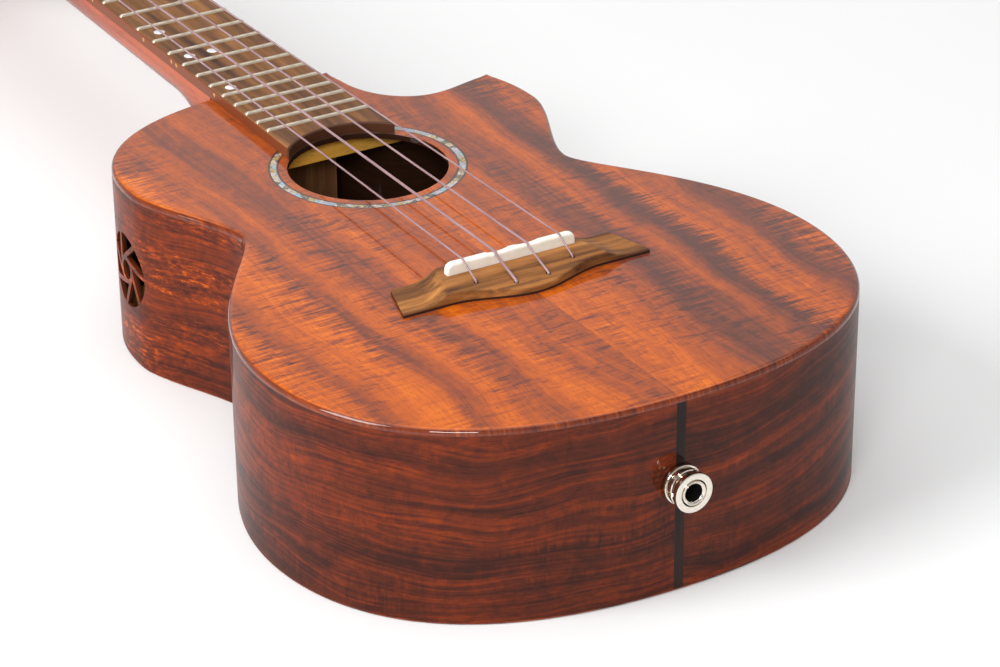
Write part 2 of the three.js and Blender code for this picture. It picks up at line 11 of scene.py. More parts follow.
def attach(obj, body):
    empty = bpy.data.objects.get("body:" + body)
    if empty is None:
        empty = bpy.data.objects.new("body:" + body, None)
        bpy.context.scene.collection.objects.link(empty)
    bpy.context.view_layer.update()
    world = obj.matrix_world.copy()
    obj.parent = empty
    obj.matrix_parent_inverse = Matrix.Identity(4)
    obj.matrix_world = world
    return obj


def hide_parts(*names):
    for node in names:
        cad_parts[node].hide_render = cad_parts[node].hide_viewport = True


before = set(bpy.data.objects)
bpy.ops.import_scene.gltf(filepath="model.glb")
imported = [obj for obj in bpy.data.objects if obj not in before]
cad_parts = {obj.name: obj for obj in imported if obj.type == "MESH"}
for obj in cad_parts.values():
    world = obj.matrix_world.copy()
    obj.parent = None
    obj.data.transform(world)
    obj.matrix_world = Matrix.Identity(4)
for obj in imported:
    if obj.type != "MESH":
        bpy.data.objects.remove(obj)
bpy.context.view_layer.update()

# ---- sizes, the CAD's where it has them

SCALE_LENGTH = 432.0
TAIL_Y = -111.8
DEPTH_TAIL = 75.8
DEPTH_NECK = 70.8
SIDE_DRAFT = 1.2
TOP_T = 2.4
BACK_T, BACK_LIP = 2.6, 0.9
SIDE_T = 2.0
HOLE_Y, HOLE_R = 105.2, 30.0
ROSETTE_IN, ROSETTE_OUT, ROSETTE_DEPTH = 33.4, 37.2, 0.8
SHELL_IN, SHELL_OUT = 34.1, 36.5
PORT_Y, PORT_DROP, PORT_R, PORT_RING, PORT_BAR, PORT_BLADES = 138.0, 34.7, 14.5, 5.6, 1.8, 7
JACK_DROP = 33.5
BOARD_T = 4.2
NUT_WIDTH = 34.0
BOARD_WIDTH_LAST = 44.5
NUT_LENGTH = 4.5
FRET_WIRE, FRET_H = 1.8, 1.1
HEAD_TILT = math.radians(12)
HEAD_T = 14.0
VENEER_T = 1.6
GRAFT_HALF = 1.9

NECK_END_Y = SCALE_LENGTH * 2 ** (-14 / 12)
BACK_SLOPE = (DEPTH_TAIL - DEPTH_NECK) / (NECK_END_Y - TAIL_Y)
TOP_Z = DEPTH_TAIL + TAIL_Y * BACK_SLOPE
UNDER_TOP_Z, BOARD_Z = TOP_Z - TOP_T, TOP_Z + BOARD_T
DRAFT = SIDE_DRAFT / DEPTH_TAIL
STRINGS = {
    "g": dict(d=0.75, saddle=-20.5, nut=-12.9, hole=-9.8),
    "c": dict(d=1.05, saddle=-7.3, nut=-4.3, hole=-15.0),
    "e": dict(d=0.85, saddle=5.9, nut=4.3, hole=-15.0),
    "a": dict(d=0.70, saddle=19.1, nut=12.9, hole=-9.8),
}
POSTS = {"g": (-18, 42), "c": (-18, 92), "e": (18, 92), "a": (18, 42)}


def fret_y(fret):
    return SCALE_LENGTH * 2 ** (-fret / 12)


def board_half(y):
    share = (SCALE_LENGTH - y) / (SCALE_LENGTH - fret_y(19))
    return (NUT_WIDTH + (BOARD_WIDTH_LAST - NUT_WIDTH) * share) / 2


def back_z(y):
    return BACK_SLOPE * y


HEAD_PLACE = (Matrix.Translation((0, SCALE_LENGTH + NUT_LENGTH, TOP_Z))
              @ Matrix.Rotation(-HEAD_TILT, 4, "X"))

# ---- mesh tools


def make_object(name, verts, faces, material, place=None, sharp=38.0):
    """A smooth-shaded mesh object from millimetre vertices, with sharp edges past an angle."""
    points = np.asarray(verts, dtype=float)
    if place is not None:
        turn = np.array(place)
        points = points @ turn[:3, :3].T + turn[:3, 3]
    mesh = bpy.data.meshes.new(name)
    mesh.from_pydata((points * 0.001).tolist(), [], [list(map(int, f)) for f in faces])
    shape = bmesh.new()
    shape.from_mesh(mesh)
    bmesh.ops.recalc_face_normals(shape, faces=shape.faces)
    shape.to_mesh(mesh)
    shape.free()
    finish_mesh(mesh, sharp)
    obj = bpy.data.objects.new(name, mesh)
    bpy.context.scene.collection.objects.link(obj)
    mesh.materials.append(material)
    return obj


def finish_mesh(mesh, sharp=38.0):
    mesh.polygons.foreach_set("use_smooth", [True] * len(mesh.polygons))
    mesh.set_sharp_from_angle(angle=math.radians(sharp))
    mesh.update()


def declare(obj, slot, *nodes, body="instrument"):
    """Ties a piece to its body, and hides the CAD nodes it stands for."""
    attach(obj, body)
    if nodes:
        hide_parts(*nodes)


def add(name, shape, material, slot, *nodes, place=None, body="instrument", sharp=38.0):
    declare(make_object(name, *shape, material, place, sharp), slot, *nodes, body=body)


def loft(rings, closed_path=False, caps=True):
    """Vertices and faces of a skin over rings with the same number of points."""
    rings = [np.asarray(r, dtype=float) for r in rings]
    count = len(rings[0])
    verts = np.concatenate(rings)
    faces = []
    spans = len(rings) if closed_path else len(rings) - 1
    for r in range(spans):
        low, high = r * count, ((r + 1) % len(rings)) * count
        for i in range(count):
            j = (i + 1) % count
            faces.append((low + i, low + j, high + j, high + i))
    if caps and not closed_path:
        faces.append(tuple(range(count))[::-1])
        faces.append(tuple(range(len(verts) - count, len(verts))))
    return verts, faces


def circle(sides):
    """Cosine and sine at even steps round a circle."""
    angles = [2 * math.pi * k / sides for k in range(sides)]
    return [(math.cos(a), math.sin(a)) for a in angles]


def lathe(profile, sides=64):
    """A skin over a closed (r, y) profile turned about the y axis."""
    return loft([[(r * c, y, r * s) for r, y in profile] for c, s in circle(sides)], closed_path=True)


def solid_lathe(profile, sides):
    """A skin over an open (r, y) profile whose two ends are closed with discs."""
    return loft([[(r * c, y, r * s) for c, s in circle(sides)] for r, y in profile])


def rectangle(x0, x1, y0, y1):
    return [(x0, y0), (x1, y0), (x1, y1), (x0, y1)]


def prism(flat, low, high):
    """A skin over a flat outline between two heights."""
    return loft([[(x, y, z) for x, y in flat] for z in (low, high)])


def tube(points, radius, sides):
    """A round tube along points."""
    path = np.asarray(points, dtype=float)
    along = np.gradient(path, axis=0)
    along /= np.linalg.norm(along, axis=1)[:, None]
    side = np.cross(along[0], (0.3, 0.2, 0.93))
    rings = []
    for p, t in zip(path, along):
        side = side - t * side.dot(t)
        side /= np.linalg.norm(side)
        up = np.cross(t, side)
        rings.append([p + radius * (c * side + s * up) for c, s in circle(sides)])
    return loft(rings)


def smooth_path(points, steps):
    """A Catmull-Rom curve through points."""
    p = np.asarray(points, dtype=float)
    p = np.vstack([2 * p[0] - p[1], p, 2 * p[-1] - p[-2]])
    out = []
    for i in range(1, len(p) - 2):
        for t in np.linspace(0, 1, steps, endpoint=False):
            a, b, c, d = p[i - 1], p[i], p[i + 1], p[i + 2]
            out.append(0.5 * (2 * b + (c - a) * t + (2 * a - 5 * b + 4 * c - d) * t * t
                              + (3 * b - a - 3 * c + d) * t ** 3))
    out.append(p[-2])
    return np.array(out)


def inward_normals(ring):
    """Mitred inward normals of a counter-clockwise closed outline."""
    ring = np.asarray(ring, dtype=float)
    ahead = np.roll(ring, -1, axis=0) - ring
    ahead /= np.linalg.norm(ahead, axis=1)[:, None]
    left = np.stack([-ahead[:, 1], ahead[:, 0]], 1)
    before = np.roll(left, 1, axis=0)
    both = left + before
    return both / (1 + (left * before).sum(1))[:, None]


def quarter_arc(radius, steps):
    """Distances from the two sides of a square corner to the arc that rounds it."""
    angles = [math.pi / 2 * k / steps for k in range(steps + 1)]
    return [(radius * (1 - math.cos(a)), radius * (1 - math.sin(a))) for a in angles]


def rounded_plate(outline, low, high, r_low, r_high, steps=5):
    """A plate over a counter-clockwise outline with rounded lower and upper edges."""
    ring = np.asarray(outline, dtype=float)
    normals = inward_normals(ring)
    levels = [(r_low + 0.3, low)] if r_low else []
    levels += [(inset, low + rise) for rise, inset in quarter_arc(r_low, steps)]
    levels += [(inset, high - drop) for inset, drop in quarter_arc(r_high, steps)]
    if r_high:
        levels.append((r_high + 0.3, high))
    return loft([np.column_stack([ring + normals * inset, np.full(len(ring), z)]) for inset, z in levels])


def rounded_rectangle(x0, x1, y0, y1, r, steps=5):
    centres = [(x1 - r, y0 + r, -90), (x1 - r, y1 - r, 0), (x0 + r, y1 - r, 90), (x0 + r, y0 + r, 180)]
    points = []
    for cx, cy, start in centres:
        for k in range(steps + 1):
            a = math.radians(start + 90 * k / steps)
            points.append((cx + r * math.cos(a), cy + r * math.sin(a)))
    return np.array(points)


def bezier(p0, p1, p2, p3, count):
    t = np.linspace(0, 1, count)[:, None]
    p0, p1, p2, p3 = (np.array(p, dtype=float) for p in (p0, p1, p2, p3))
    return (1 - t) ** 3 * p0 + 3 * (1 - t) ** 2 * t * p1 + 3 * (1 - t) * t * t * p2 + t ** 3 * p3


def cut(obj, *cutters):
    """Takes cutters out of a piece, and removes them."""
    for cutter in cutters:
        tool = obj.modifiers.new("cut", "BOOLEAN")
        tool.operation = "DIFFERENCE"
        tool.solver = "EXACT"
        tool.object = cutter
    depsgraph = bpy.context.evaluated_depsgraph_get()
    shaped = bpy.data.meshes.new_from_object(obj.evaluated_get(depsgraph))
    obj.modifiers.clear()
    obj.data = shaped
    finish_mesh(shaped)
    for cutter in cutters:
        bpy.data.objects.remove(cutter)


# ---- the body's outline


def joined(parts):
    return np.concatenate([parts[0]] + [part[1:] for part in parts[1:]])


def crossing(first, second):
    """Where two polylines cross: the index on each and the point."""
    a, b = first[:-1][:, None], first[1:][:, None]
    c, d = second[:-1][None], second[1:][None]
    r, s = b - a, d - c
    den = r[..., 0] * s[..., 1] - r[..., 1] * s[..., 0]
    den = np.where(np.abs(den) < 1e-12, 1e-12, den)
    gap = c - a
    t = (gap[..., 0] * s[..., 1] - gap[..., 1] * s[..., 0]) / den
    u = (gap[..., 0] * r[..., 1] - gap[..., 1] * r[..., 0]) / den
    found = np.argwhere((t >= 0) & (t < 1) & (u >= 0) & (u < 1))
    return [(i, j, first[i] + (first[i + 1] - first[i]) * t[i, j]) for i, j in found]


def lengths(path):
    """The length of a path up to each of its points."""
    return np.concatenate([[0], np.cumsum(np.linalg.norm(np.diff(path, axis=0), axis=1))])


def resampled(path, spacing):
    along = lengths(path)
    count = max(2, int(round(along[-1] / spacing)) + 1)
    places = np.linspace(0, along[-1], count)
    return np.column_stack([np.interp(places, along, path[:, k]) for k in (0, 1)])


def trimmed(path, amount, at_end):
    """A path without the last (or first) stretch of a given length."""
    path = path[::-1] if at_end else path
    along = lengths(path)
    k = int(np.searchsorted(along, amount))
    share = (amount - along[k - 1]) / (along[k] - along[k - 1])
    start = path[k - 1] + (path[k] - path[k - 1]) * share
    rest = np.vstack([start, path[k:]])
    return rest[::-1] if at_end else rest


def corner_arc(before, after, radius, steps=7):
    """Trims two paths that meet in a corner and returns them with the arc between."""
    t1 = before[-1] - before[-4]
    t2 = after[3] - after[0]
    t1, t2 = t1 / np.linalg.norm(t1), t2 / np.linalg.norm(t2)
    turn = math.atan2(t1[0] * t2[1] - t1[1] * t2[0], t1.dot(t2))
    back = radius * math.tan(abs(turn) / 2)
    before, after = trimmed(before, back, True), trimmed(after, back, False)
    side = math.copysign(1, turn)
    centre = before[-1] + radius * side * np.array([-t1[1], t1[0]])
    arm = before[-1] - centre
    arc = []
    for k in range(1, steps):
        a = turn * k / steps
        arc.append(centre + np.array([arm[0] * math.cos(a) - arm[1] * math.sin(a),
                                      arm[0] * math.sin(a) + arm[1] * math.cos(a)]))
    return before, np.array(arc), after


def body_outline():
    """The outline counter-clockwise from the tail's centre, and the marks where its parts meet."""
    half = joined([
        bezier((0, TAIL_Y), (104.7, TAIL_Y), (113.6, -48.4), (113.6, -24.2), 400),
        bezier((113.6, -24.2), (113.6, 29.5), (68.8, 63.3), (68.8, 76.3), 400),
        bezier((68.8, 76.3), (68.8, 89.7), (86.5, 114.6), (86.5, 128.7), 300),
        bezier((86.5, 128.7), (86.5, 145.7), (83.2, NECK_END_Y), (0, NECK_END_Y), 500),
    ])
    scoop = joined([
        bezier((27.6, 222.4), (28, 202.4), (28.4, 192.4), (30.6, 180.4), 60),
        bezier((30.6, 180.4), (31.6, 164.5), (41.8, 151.8), (55.6, 151.8), 200),
        bezier((55.6, 151.8), (63.7, 151.8), (70.3, 155.4), (81, 156.2), 150),
        bezier((81, 156.2), (91.7, 157), (105, 158), (120, 159), 150),
    ])
    hits = sorted(crossing(half, scoop), key=lambda hit: hit[0])
    (i_horn, j_horn, horn), (i_neck, j_neck, neck) = hits[0], hits[-1]
    treble = np.vstack([half[:i_horn + 1], horn])
    cutaway = np.vstack([horn, scoop[j_neck + 1:j_horn + 1][::-1], neck])
    end = np.vstack([neck, half[i_neck + 1:]])
    bass = half[::-1] * (-1, 1)
    treble, horn_arc, cutaway = corner_arc(treble, cutaway, 1.6)
    cutaway, neck_arc, end = corner_arc(cutaway, end, 1.2)
    graft_r = int(np.searchsorted(treble[:60, 0], GRAFT_HALF))
    edge_r = np.array([np.interp(GRAFT_HALF, treble[:60, 0], treble[:60, k]) for k in (0, 1)])
    parts = [
        resampled(np.vstack([treble[:graft_r], edge_r]), 0.7),
        resampled(np.vstack([edge_r, treble[graft_r:]]), 1.5),
        horn_arc,
        resampled(cutaway, 1.5),
        neck_arc,
        resampled(end, 1.5),
        resampled(np.vstack([bass[:len(bass) - graft_r], edge_r * (-1, 1)]), 1.5)[1:],
        resampled(np.vstack([edge_r * (-1, 1), bass[len(bass) - graft_r:]]), 0.7)[1:-1],
    ]
    parts[1] = parts[1][1:]
    ring = np.concatenate(parts)
    sizes = np.cumsum([0] + [len(p) for p in parts])
    marks = dict(graft_right=sizes[1] - 1, horn=(sizes[2] + sizes[3]) // 2,
                 neck=(sizes[4] + sizes[5]) // 2, graft_left=sizes[7] - 1)
    return ring, marks


RIM, MARKS = body_outline()
RIM_IN = inward_normals(RIM)
RIM_ALONG = lengths(RIM)
HOLE_CENTRE = np.array([0.0, HOLE_Y])


def corner_shares():
    """How much of an inset each rim point takes: less near the two tight corners."""
    gaps = [np.abs(RIM_ALONG - RIM_ALONG[MARKS[mark]]) for mark in ("horn", "neck")]
    return np.clip(0.48 + np.minimum(*gaps) / 7, 0.48, 1.0)


RIM_SHARE = corner_shares()


def rim_points(inset, z, rows=slice(None)):
    """Points round the body at a height, z being one number or one per point."""
    base, inward = RIM[rows], RIM_IN[rows]
    z = np.broadcast_to(z, len(base))
    flat = base + inward * (inset * RIM_SHARE[rows] + DRAFT * (TOP_Z - z))[:, None]
    return np.column_stack([flat, z])

# ---- material tools


class Shader:
    """A node tree under construction, a material's or the world's."""

    def __init__(self, name, owners=bpy.data.materials, shading="Principled BSDF", **surface):
        self.owner = owners.new(name)
        self.owner.use_nodes = True
        self.tree = self.owner.node_tree
        self.shading = self.tree.nodes[shading]
        self.surface(**surface)

    def put(self, target, value):
        if isinstance(value, bpy.types.NodeSocket):
            self.tree.links.new(value, target)
        else:
            target.default_value = value

    def surface(self, **inputs):
        for socket, value in inputs.items():
            self.put(self.shading.inputs[socket.replace("_", " ")], value)
        return self.owner

    def node(self, kind, inputs=(), out=0, **settings):
        """A new node's output. Inputs are values or sockets, in order or in a dictionary."""
        made = self.tree.nodes.new(kind)
        for key, value in settings.items():
            setattr(made, key, value)
        for key, value in inputs.items() if isinstance(inputs, dict) else enumerate(inputs):
            self.put(made.inputs[key], value)
        return made.outputs[out]

    def place(self):
        """Object coordinates, in metres."""
        return self.node("ShaderNodeTexCoord", out="Object")

    def parts(self, vector):
        return self.node("ShaderNodeSeparateXYZ", [vector]).node.outputs

    def vector(self, *parts):
        return self.node("ShaderNodeCombineXYZ", parts)

    def calc(self, operation, a, b=0.0, c=0.0):
        return self.node("ShaderNodeMath", (a, b, c), operation=operation)

    def add(self, a, b):
        return self.calc("ADD", a, b)

    def minus(self, a, b):
        return self.calc("SUBTRACT", a, b)

    def times(self, a, b):
        return self.calc("MULTIPLY", a, b)

    def span(self, value, low, high, to_low=0.0, to_high=1.0):
        return self.node("ShaderNodeMapRange", (value, low, high, to_low, to_high), clamp=True)

    def noise(self, vector, detail=3.0, roughness=0.55, distortion=0.0):
        return self.node("ShaderNodeTexNoise", {
            "Vector": vector, "Scale": 1.0, "Detail": detail, "Roughness": roughness,
            "Distortion": distortion}, "Fac")

    def cloud(self, scale, *look, shift=(0, 0, 0)):
        """Noise fixed to the object; scale is in cells to the metre, one number or one an axis."""
        scale = (scale,) * 3 if isinstance(scale, int) else scale
        return self.noise(self.node("ShaderNodeMapping", {
            "Vector": self.place(), "Scale": scale, "Location": shift}), *look)

    def ramp(self, fac, *stops):
        """A colour or grey ramp from (place, colour) stops; a grey is one number."""
        made = self.node("ShaderNodeValToRGB", [fac]).node
        elements = made.color_ramp.elements
        elements.remove(elements[1])
        elements[0].position = stops[0][0]
        for place, _ in stops[1:]:
            elements.new(place)
        for element, (_, colour) in zip(elements, stops):
            shade = (colour,) * 3 if isinstance(colour, (int, float)) else colour
            element.color = (*shade, 1)
        return made.outputs[0]

    def mix(self, fac, a, b):
        a, b = (c if isinstance(c, bpy.types.NodeSocket) else (*c, 1) for c in (a, b))
        return self.node("ShaderNodeMix", {0: fac, 6: a, 7: b}, 2, data_type="RGBA")

    def bump(self, height, distance, strength):
        return self.node("ShaderNodeBump", {
            "Strength": strength, "Distance": distance, "Height": height})


def linear(r, g, b):
    """A screen colour out of 255 as the linear colour that shaders use."""
    shades = [value / 255 for value in (r, g, b)]
    return tuple(v / 12.92 if v <= 0.04045 else ((v + 0.055) / 1.055) ** 2.4 for v in shades)


def stops(places, *colours):
    """Ramp stops from places and screen colours."""
    return [(place, linear(*colour)) for place, colour in zip(places, colours)]


def figured_wood(name, along, across, depth, colours, figure=1.0, band_width=0.018, lines=0.35,
                 shift=0.0, contrast=(0.1, 1.0), mottle=0.5, flecks=None, coat=1.0, tilt=None, edge=None):
    """Curly wood: bands along the grain whose edges are frayed by the curl, fine lines and pores.
    The coordinates are sockets in metres, made by functions of the shader; figure scales the curl,
    lines and mottle the fine lines and the mottling, tilt adds to the tone (painted shade at the ribs' tail),
    and edge recolours faces that are not the show face (painted shade on inner faces). Colours run from the
    darkest to the brightest."""
    s = Shader(name, Roughness=0.5, Specular_IOR_Level=0.06, Coat_Weight=coat, Coat_Roughness=0.02,
               Coat_IOR=1.5)
    g, a, d = along(s), across(s), depth(s)

    def layer(per_along, per_across, seed, detail=2.0, roughness=0.5, distortion=0.0, over=a):
        where = s.vector(s.times(g, per_along), s.times(over, per_across), s.add(d, shift + seed))
        return s.noise(where, detail, roughness, distortion)

    def swing(value, size):
        return s.times(s.minus(value, 0.5), size)

    curl = layer(520.0, 42.0, 0.0, 3.0, 0.65, 0.7)
    ticks = s.span(layer(560.0, 95.0, 9.4, 2.0, 0.6, 0.5), 0.55, 0.66)
    patch = s.span(layer(14.0, 30.0, 1.7, 1.0), 0.36, 0.64, 0.1, 1.0)
    fray = s.times(swing(curl, 0.032 * figure), patch)
    wandering = s.add(a, swing(layer(9.0, 16.0, 4.2), 0.03))
    bands = layer(2.2, 1 / band_width, 3.1, 2.5, over=s.add(wandering, fray))
    fine = layer(15.0, 700.0, 2.3, 3.0, 0.6, over=wandering)
    soft = layer(110.0, 150.0, 7.7, 4.0, 0.65, 0.6)
    pores = layer(260.0, 2300.0, 5.1, 1.0)
    tone = s.span(bands, 0.25, 0.75, *contrast)
    if tilt is not None:
        tone = s.add(tone, tilt(s))
    tone = s.add(tone, s.times(swing(curl, 1.1 * figure), patch))
    tone = s.minus(tone, s.times(ticks, s.times(patch, 0.42 * figure)))
    tone = s.add(tone, swing(soft, mottle))
    tone = s.add(tone, swing(fine, lines))
    if flecks is not None:
        bright = s.span(layer(190.0, 620.0, 12.1, 4.0, 0.75), 0.46, 0.64)
        zone = s.span(layer(9.0, 60.0, 21.3, 1.5), 0.42, 0.58, 0.0, 0.5)
        tone = s.add(tone, s.times(s.times(bright, zone), flecks(s)))
    shade = s.ramp(tone, *stops((0.0, 0.28, 0.52, 0.78, 1.0), *colours))
    shade = s.mix(s.span(pores, 0.6, 0.72, 0.0, 0.5), shade, tuple(c * 0.35 for c in linear(*colours[1])))
    if edge is not None:
        shade = edge(s, shade, fine)
    return s.surface(Base_Color=shade, Normal=s.bump(s.add(pores, fine), 0.00003, 0.4))


SEAM_X = -0.0008  # the centre seam of a bookmatched plate, in metres


def object_part(index):
    return lambda s: s.parts(s.place())[index]


def grain_part(index):
    """A part of the coordinates that lay_grain() stores on a rib."""
    return lambda s: s.parts(s.node("ShaderNodeAttribute", out="Vector", attribute_name="grain"))[index]


def bookmatched(s):
    """Distance from the centre seam, so that the halves mirror each other."""
    return s.calc("ABSOLUTE", s.minus(object_part(0)(s), SEAM_X))


def half_depth(s):
    """Tells the two halves of a bookmatched plate apart a little."""
    return s.times(s.calc("GREATER_THAN", object_part(0)(s), SEAM_X), 0.35)


def from_hole(s):
    """Offsets across and along from the soundhole's centre, and the distance, in metres."""
    x, y, _ = s.parts(s.place())
    down = s.minus(y, HOLE_Y * 0.001)
    return x, down, s.calc("SQRT", s.add(s.times(x, x), s.times(down, down)))


def top_edge(s, shade, fine):
    """The plate's own edge under thick lacquer, redder and darker towards its foot, and the hole's
    dark wall."""
    low = s.span(object_part(2)(s), (TOP_Z - 0.5) * 0.001, (TOP_Z - 0.06) * 0.001, 1.0, 0.0)
    rim = s.ramp(fine, *stops((0.3, 0.55, 0.85), (76, 20, 0), (112, 40, 0), (158, 70, 0)))
    wall_zone = s.calc("LESS_THAN", from_hole(s)[2], (HOLE_R + 0.12) * 0.001)
    return s.mix(wall_zone, s.mix(low, shade, rim), linear(48, 26, 16))


def paler_left(s):
    """Paler towards the bass edge and darker towards the treble edge, in one even ramp across the plate."""
    return s.span(object_part(0)(s), -0.11, 0.11, 0.14, -0.14)


def painted_tail_shade(s):
    """Painted shade: the ribs are darker at the tail than at the shoulders."""
    return s.span(object_part(1)(s), -0.11, 0.1, -0.25, -0.14)


def warm_shoulder(s):
    """Bright flecks are strong in the upper bout and faint at the tail."""
    return s.span(object_part(1)(s), -0.03, 0.08, 0.22, 1.0)


def painted_inside_shade(s, inside, shade, fine):
    """Painted shade: dark brown on the inner faces, where inside is one, for the shade inside the body."""
    return s.mix(inside, shade, s.mix(fine, linear(34, 20, 14), linear(70, 42, 28)))


def rib_painted_inside_shade(s, shade, fine):
    """Painted shade on the inner face of a rib, which lay_grain() marks with a large depth."""
    return painted_inside_shade(s, s.calc("GREATER_THAN", grain_part(2)(s), 25.0), shade, fine)


def back_painted_inside_shade(s, shade, fine):
    """Painted shade on the inner face of the back."""
    _, y, z = s.parts(s.place())
    height = s.minus(z, s.times(y, BACK_SLOPE))
    return painted_inside_shade(s, s.calc("GREATER_THAN", height, 0.0022), shade, fine)


KOA_TOP = [(88, 46, 36), (128, 60, 34), (168, 76, 22), (200, 94, 12), (222, 114, 10)]
KOA_SIDE = [(50, 18, 8), (84, 30, 10), (116, 42, 8), (152, 60, 4), (238, 116, 4)]

TOP_WOOD = figured_wood("koa_top", object_part(1), bookmatched, half_depth, KOA_TOP, figure=0.9,
                        lines=0.5, contrast=(0.05, 0.92), tilt=paler_left, edge=top_edge)
# The ribs carry painted shade: darker at the tail, and dark on their inner faces.
SIDE_WOOD = figured_wood("koa_side", grain_part(0), grain_part(1), grain_part(2), KOA_SIDE,
                         figure=0.25, band_width=0.008, lines=1.0, shift=5.3, contrast=(0.22, 0.72),
                         mottle=0.7, flecks=warm_shoulder, coat=0.28, tilt=painted_tail_shade, edge=rib_painted_inside_shade)
# The back carries painted shade on its inner face.
BACK_WOOD = figured_wood("koa_back", object_part(1), bookmatched, half_depth, KOA_SIDE, figure=0.6,
                         shift=11.0, contrast=(0.15, 0.9), coat=0.6, edge=back_painted_inside_shade)


def plain_wood(name, colours, axis=1, scale=1.0, roughness=0.5, coat=0.0, streak=0.5, edge=None):
    """Straight-grained wood with pores; the grain runs along one object axis."""
    s = Shader(name, Roughness=roughness, Specular_IOR_Level=0.06 if coat > 0.2 else 0.3)
    if coat:
        s.surface(Coat_Weight=coat, Coat_Roughness=0.06, Coat_IOR=1.5)

    def cells(count, stretch):
        return [count * scale * (stretch if k == axis else 1.0) for k in range(3)]

    grain = s.cloud(cells(210, 0.06), 4.0, 0.62, 0.25)
    broad = s.cloud(cells(62, 0.06), 2.0, 0.5, 0.4, shift=(3, 1, 2))
    pores = s.cloud(cells(1500, 0.1), 1.5, 0.6)
    tone = s.calc("MULTIPLY_ADD", s.minus(broad, 0.5), streak * 2.2, grain)
    shade = s.ramp(tone, *stops((0.22, 0.42, 0.58, 0.8), *colours))
    shade = s.mix(s.span(pores, 0.62, 0.72, 0.0, 0.5), shade, tuple(c * 0.3 for c in linear(*colours[0])))
    if edge is not None:
        shade = edge(s, shade)
    return s.surface(Base_Color=shade, Normal=s.bump(s.minus(grain, pores), 0.00008, 0.3))


def bridge_painted_contact_shadow(s, shade):
    """Painted contact shadow: a dark brown band along the bridge's lowest millimetre, where it meets the
    soundboard.
    """
    low = s.span(object_part(2)(s), (TOP_Z + 0.7) * 0.001, (TOP_Z + 1.0) * 0.001, 1.0, 0.0)
    return s.mix(low, shade, linear(44, 16, 6))


def board_edge(s, shade):
    """The redder long edges of the fretboard, and the dark arc at its end."""
    x, y, _ = s.parts(s.place())
    slope = (BOARD_WIDTH_LAST - NUT_WIDTH) / 2 / (SCALE_LENGTH - fret_y(19))
    half = s.calc("MULTIPLY_ADD", y, -slope, (NUT_WIDTH / 2 + slope * SCALE_LENGTH - 0.25) * 0.001)
    side = s.calc("GREATER_THAN", s.calc("ABSOLUTE", x), half)
    arc = s.calc("LESS_THAN", from_hole(s)[2], (HOLE_R + 1.0) * 0.001)
    return s.mix(arc, s.mix(side, shade, linear(120, 58, 26)), linear(78, 42, 22))


NECK_WOOD = plain_wood("neck_wood", [(116, 44, 22), (152, 62, 28), (180, 80, 36), (202, 98, 44)],
                       scale=0.8, coat=0.6, streak=0.3)
BOARD_WOOD = plain_wood("board_wood", [(60, 36, 24), (98, 62, 36), (126, 82, 42), (158, 108, 58)],
                        scale=1.6, coat=0.1, streak=0.35, edge=board_edge)
# The bridge's wood carries a painted contact shadow along its foot.
BRIDGE_WOOD = plain_wood("bridge_wood", [(76, 42, 20), (122, 76, 34), (154, 98, 46), (188, 128, 64)],
                         axis=0, scale=1.9, roughness=0.6, coat=0.06, edge=bridge_painted_contact_shadow)
BLACK_WOOD = plain_wood("black_wood", [(20, 10, 9), (32, 17, 14), (42, 24, 20), (54, 32, 26)],
                        axis=2, scale=1.3, coat=0.3)
HEAD_WOOD = plain_wood("head_wood", [(24, 15, 14), (40, 26, 23), (54, 36, 31), (70, 50, 42)],
                       scale=1.1, coat=1.0)
PALE_WOOD = plain_wood("pale_wood", [(236, 154, 48), (250, 174, 62), (254, 188, 78), (255, 202, 98)],
                       axis=0, scale=1.3, roughness=0.7, streak=0.25)
BLOCK_WOOD = plain_wood("block_wood", [(104, 66, 38), (136, 90, 54), (158, 110, 68), (178, 130, 88)],
                        axis=2, roughness=0.7, streak=0.3)
def polished_metal(name, screen_colour, roughness):
    s = Shader(name, Metallic=1.0)
    colour = linear(*screen_colour)
    wear = s.cloud(900, 3.0, 0.6)
    fine = s.cloud(5200, 2.0, shift=(1, 2, 3))
    tint = s.mix(s.span(wear, 0.35, 0.7), colour, tuple(c * 0.88 for c in colour))
    rough = s.span(wear, 0.3, 0.75, roughness * 0.7, roughness * 1.4)
    return s.surface(Base_Color=tint, Roughness=rough, Normal=s.bump(fine, 0.00001, 0.15))


def clouded(name, scale, look, shades, relief, fine_scale=None, **surface):
    """An even finish with faint clouds of colour, and the relief of the clouds or of finer noise."""
    s = Shader(name, **surface)
    cloud = s.cloud(scale, *look)
    fine = s.cloud(fine_scale, 2.0) if fine_scale else cloud
    return s.surface(Base_Color=s.ramp(cloud, *shades), Normal=s.bump(fine, *relief))


def bone_material():
    s = Shader("bone", Roughness=0.36, Subsurface_Weight=0.25, Subsurface_Scale=0.002,
               Subsurface_Radius=(1.0, 0.8, 0.6))
    fibre = s.cloud((220, 2600, 1800), 2.0)
    shade = s.ramp(s.cloud(160, 4.0, 0.6), *stops((0.3, 0.7), (236, 230, 216), (248, 246, 238)))
    shade = s.mix(s.span(fibre, 0.62, 0.8, 0.0, 0.25), shade, linear(214, 204, 184))
    return s.surface(Base_Color=shade, Normal=s.bump(fibre, 0.00002, 0.2))


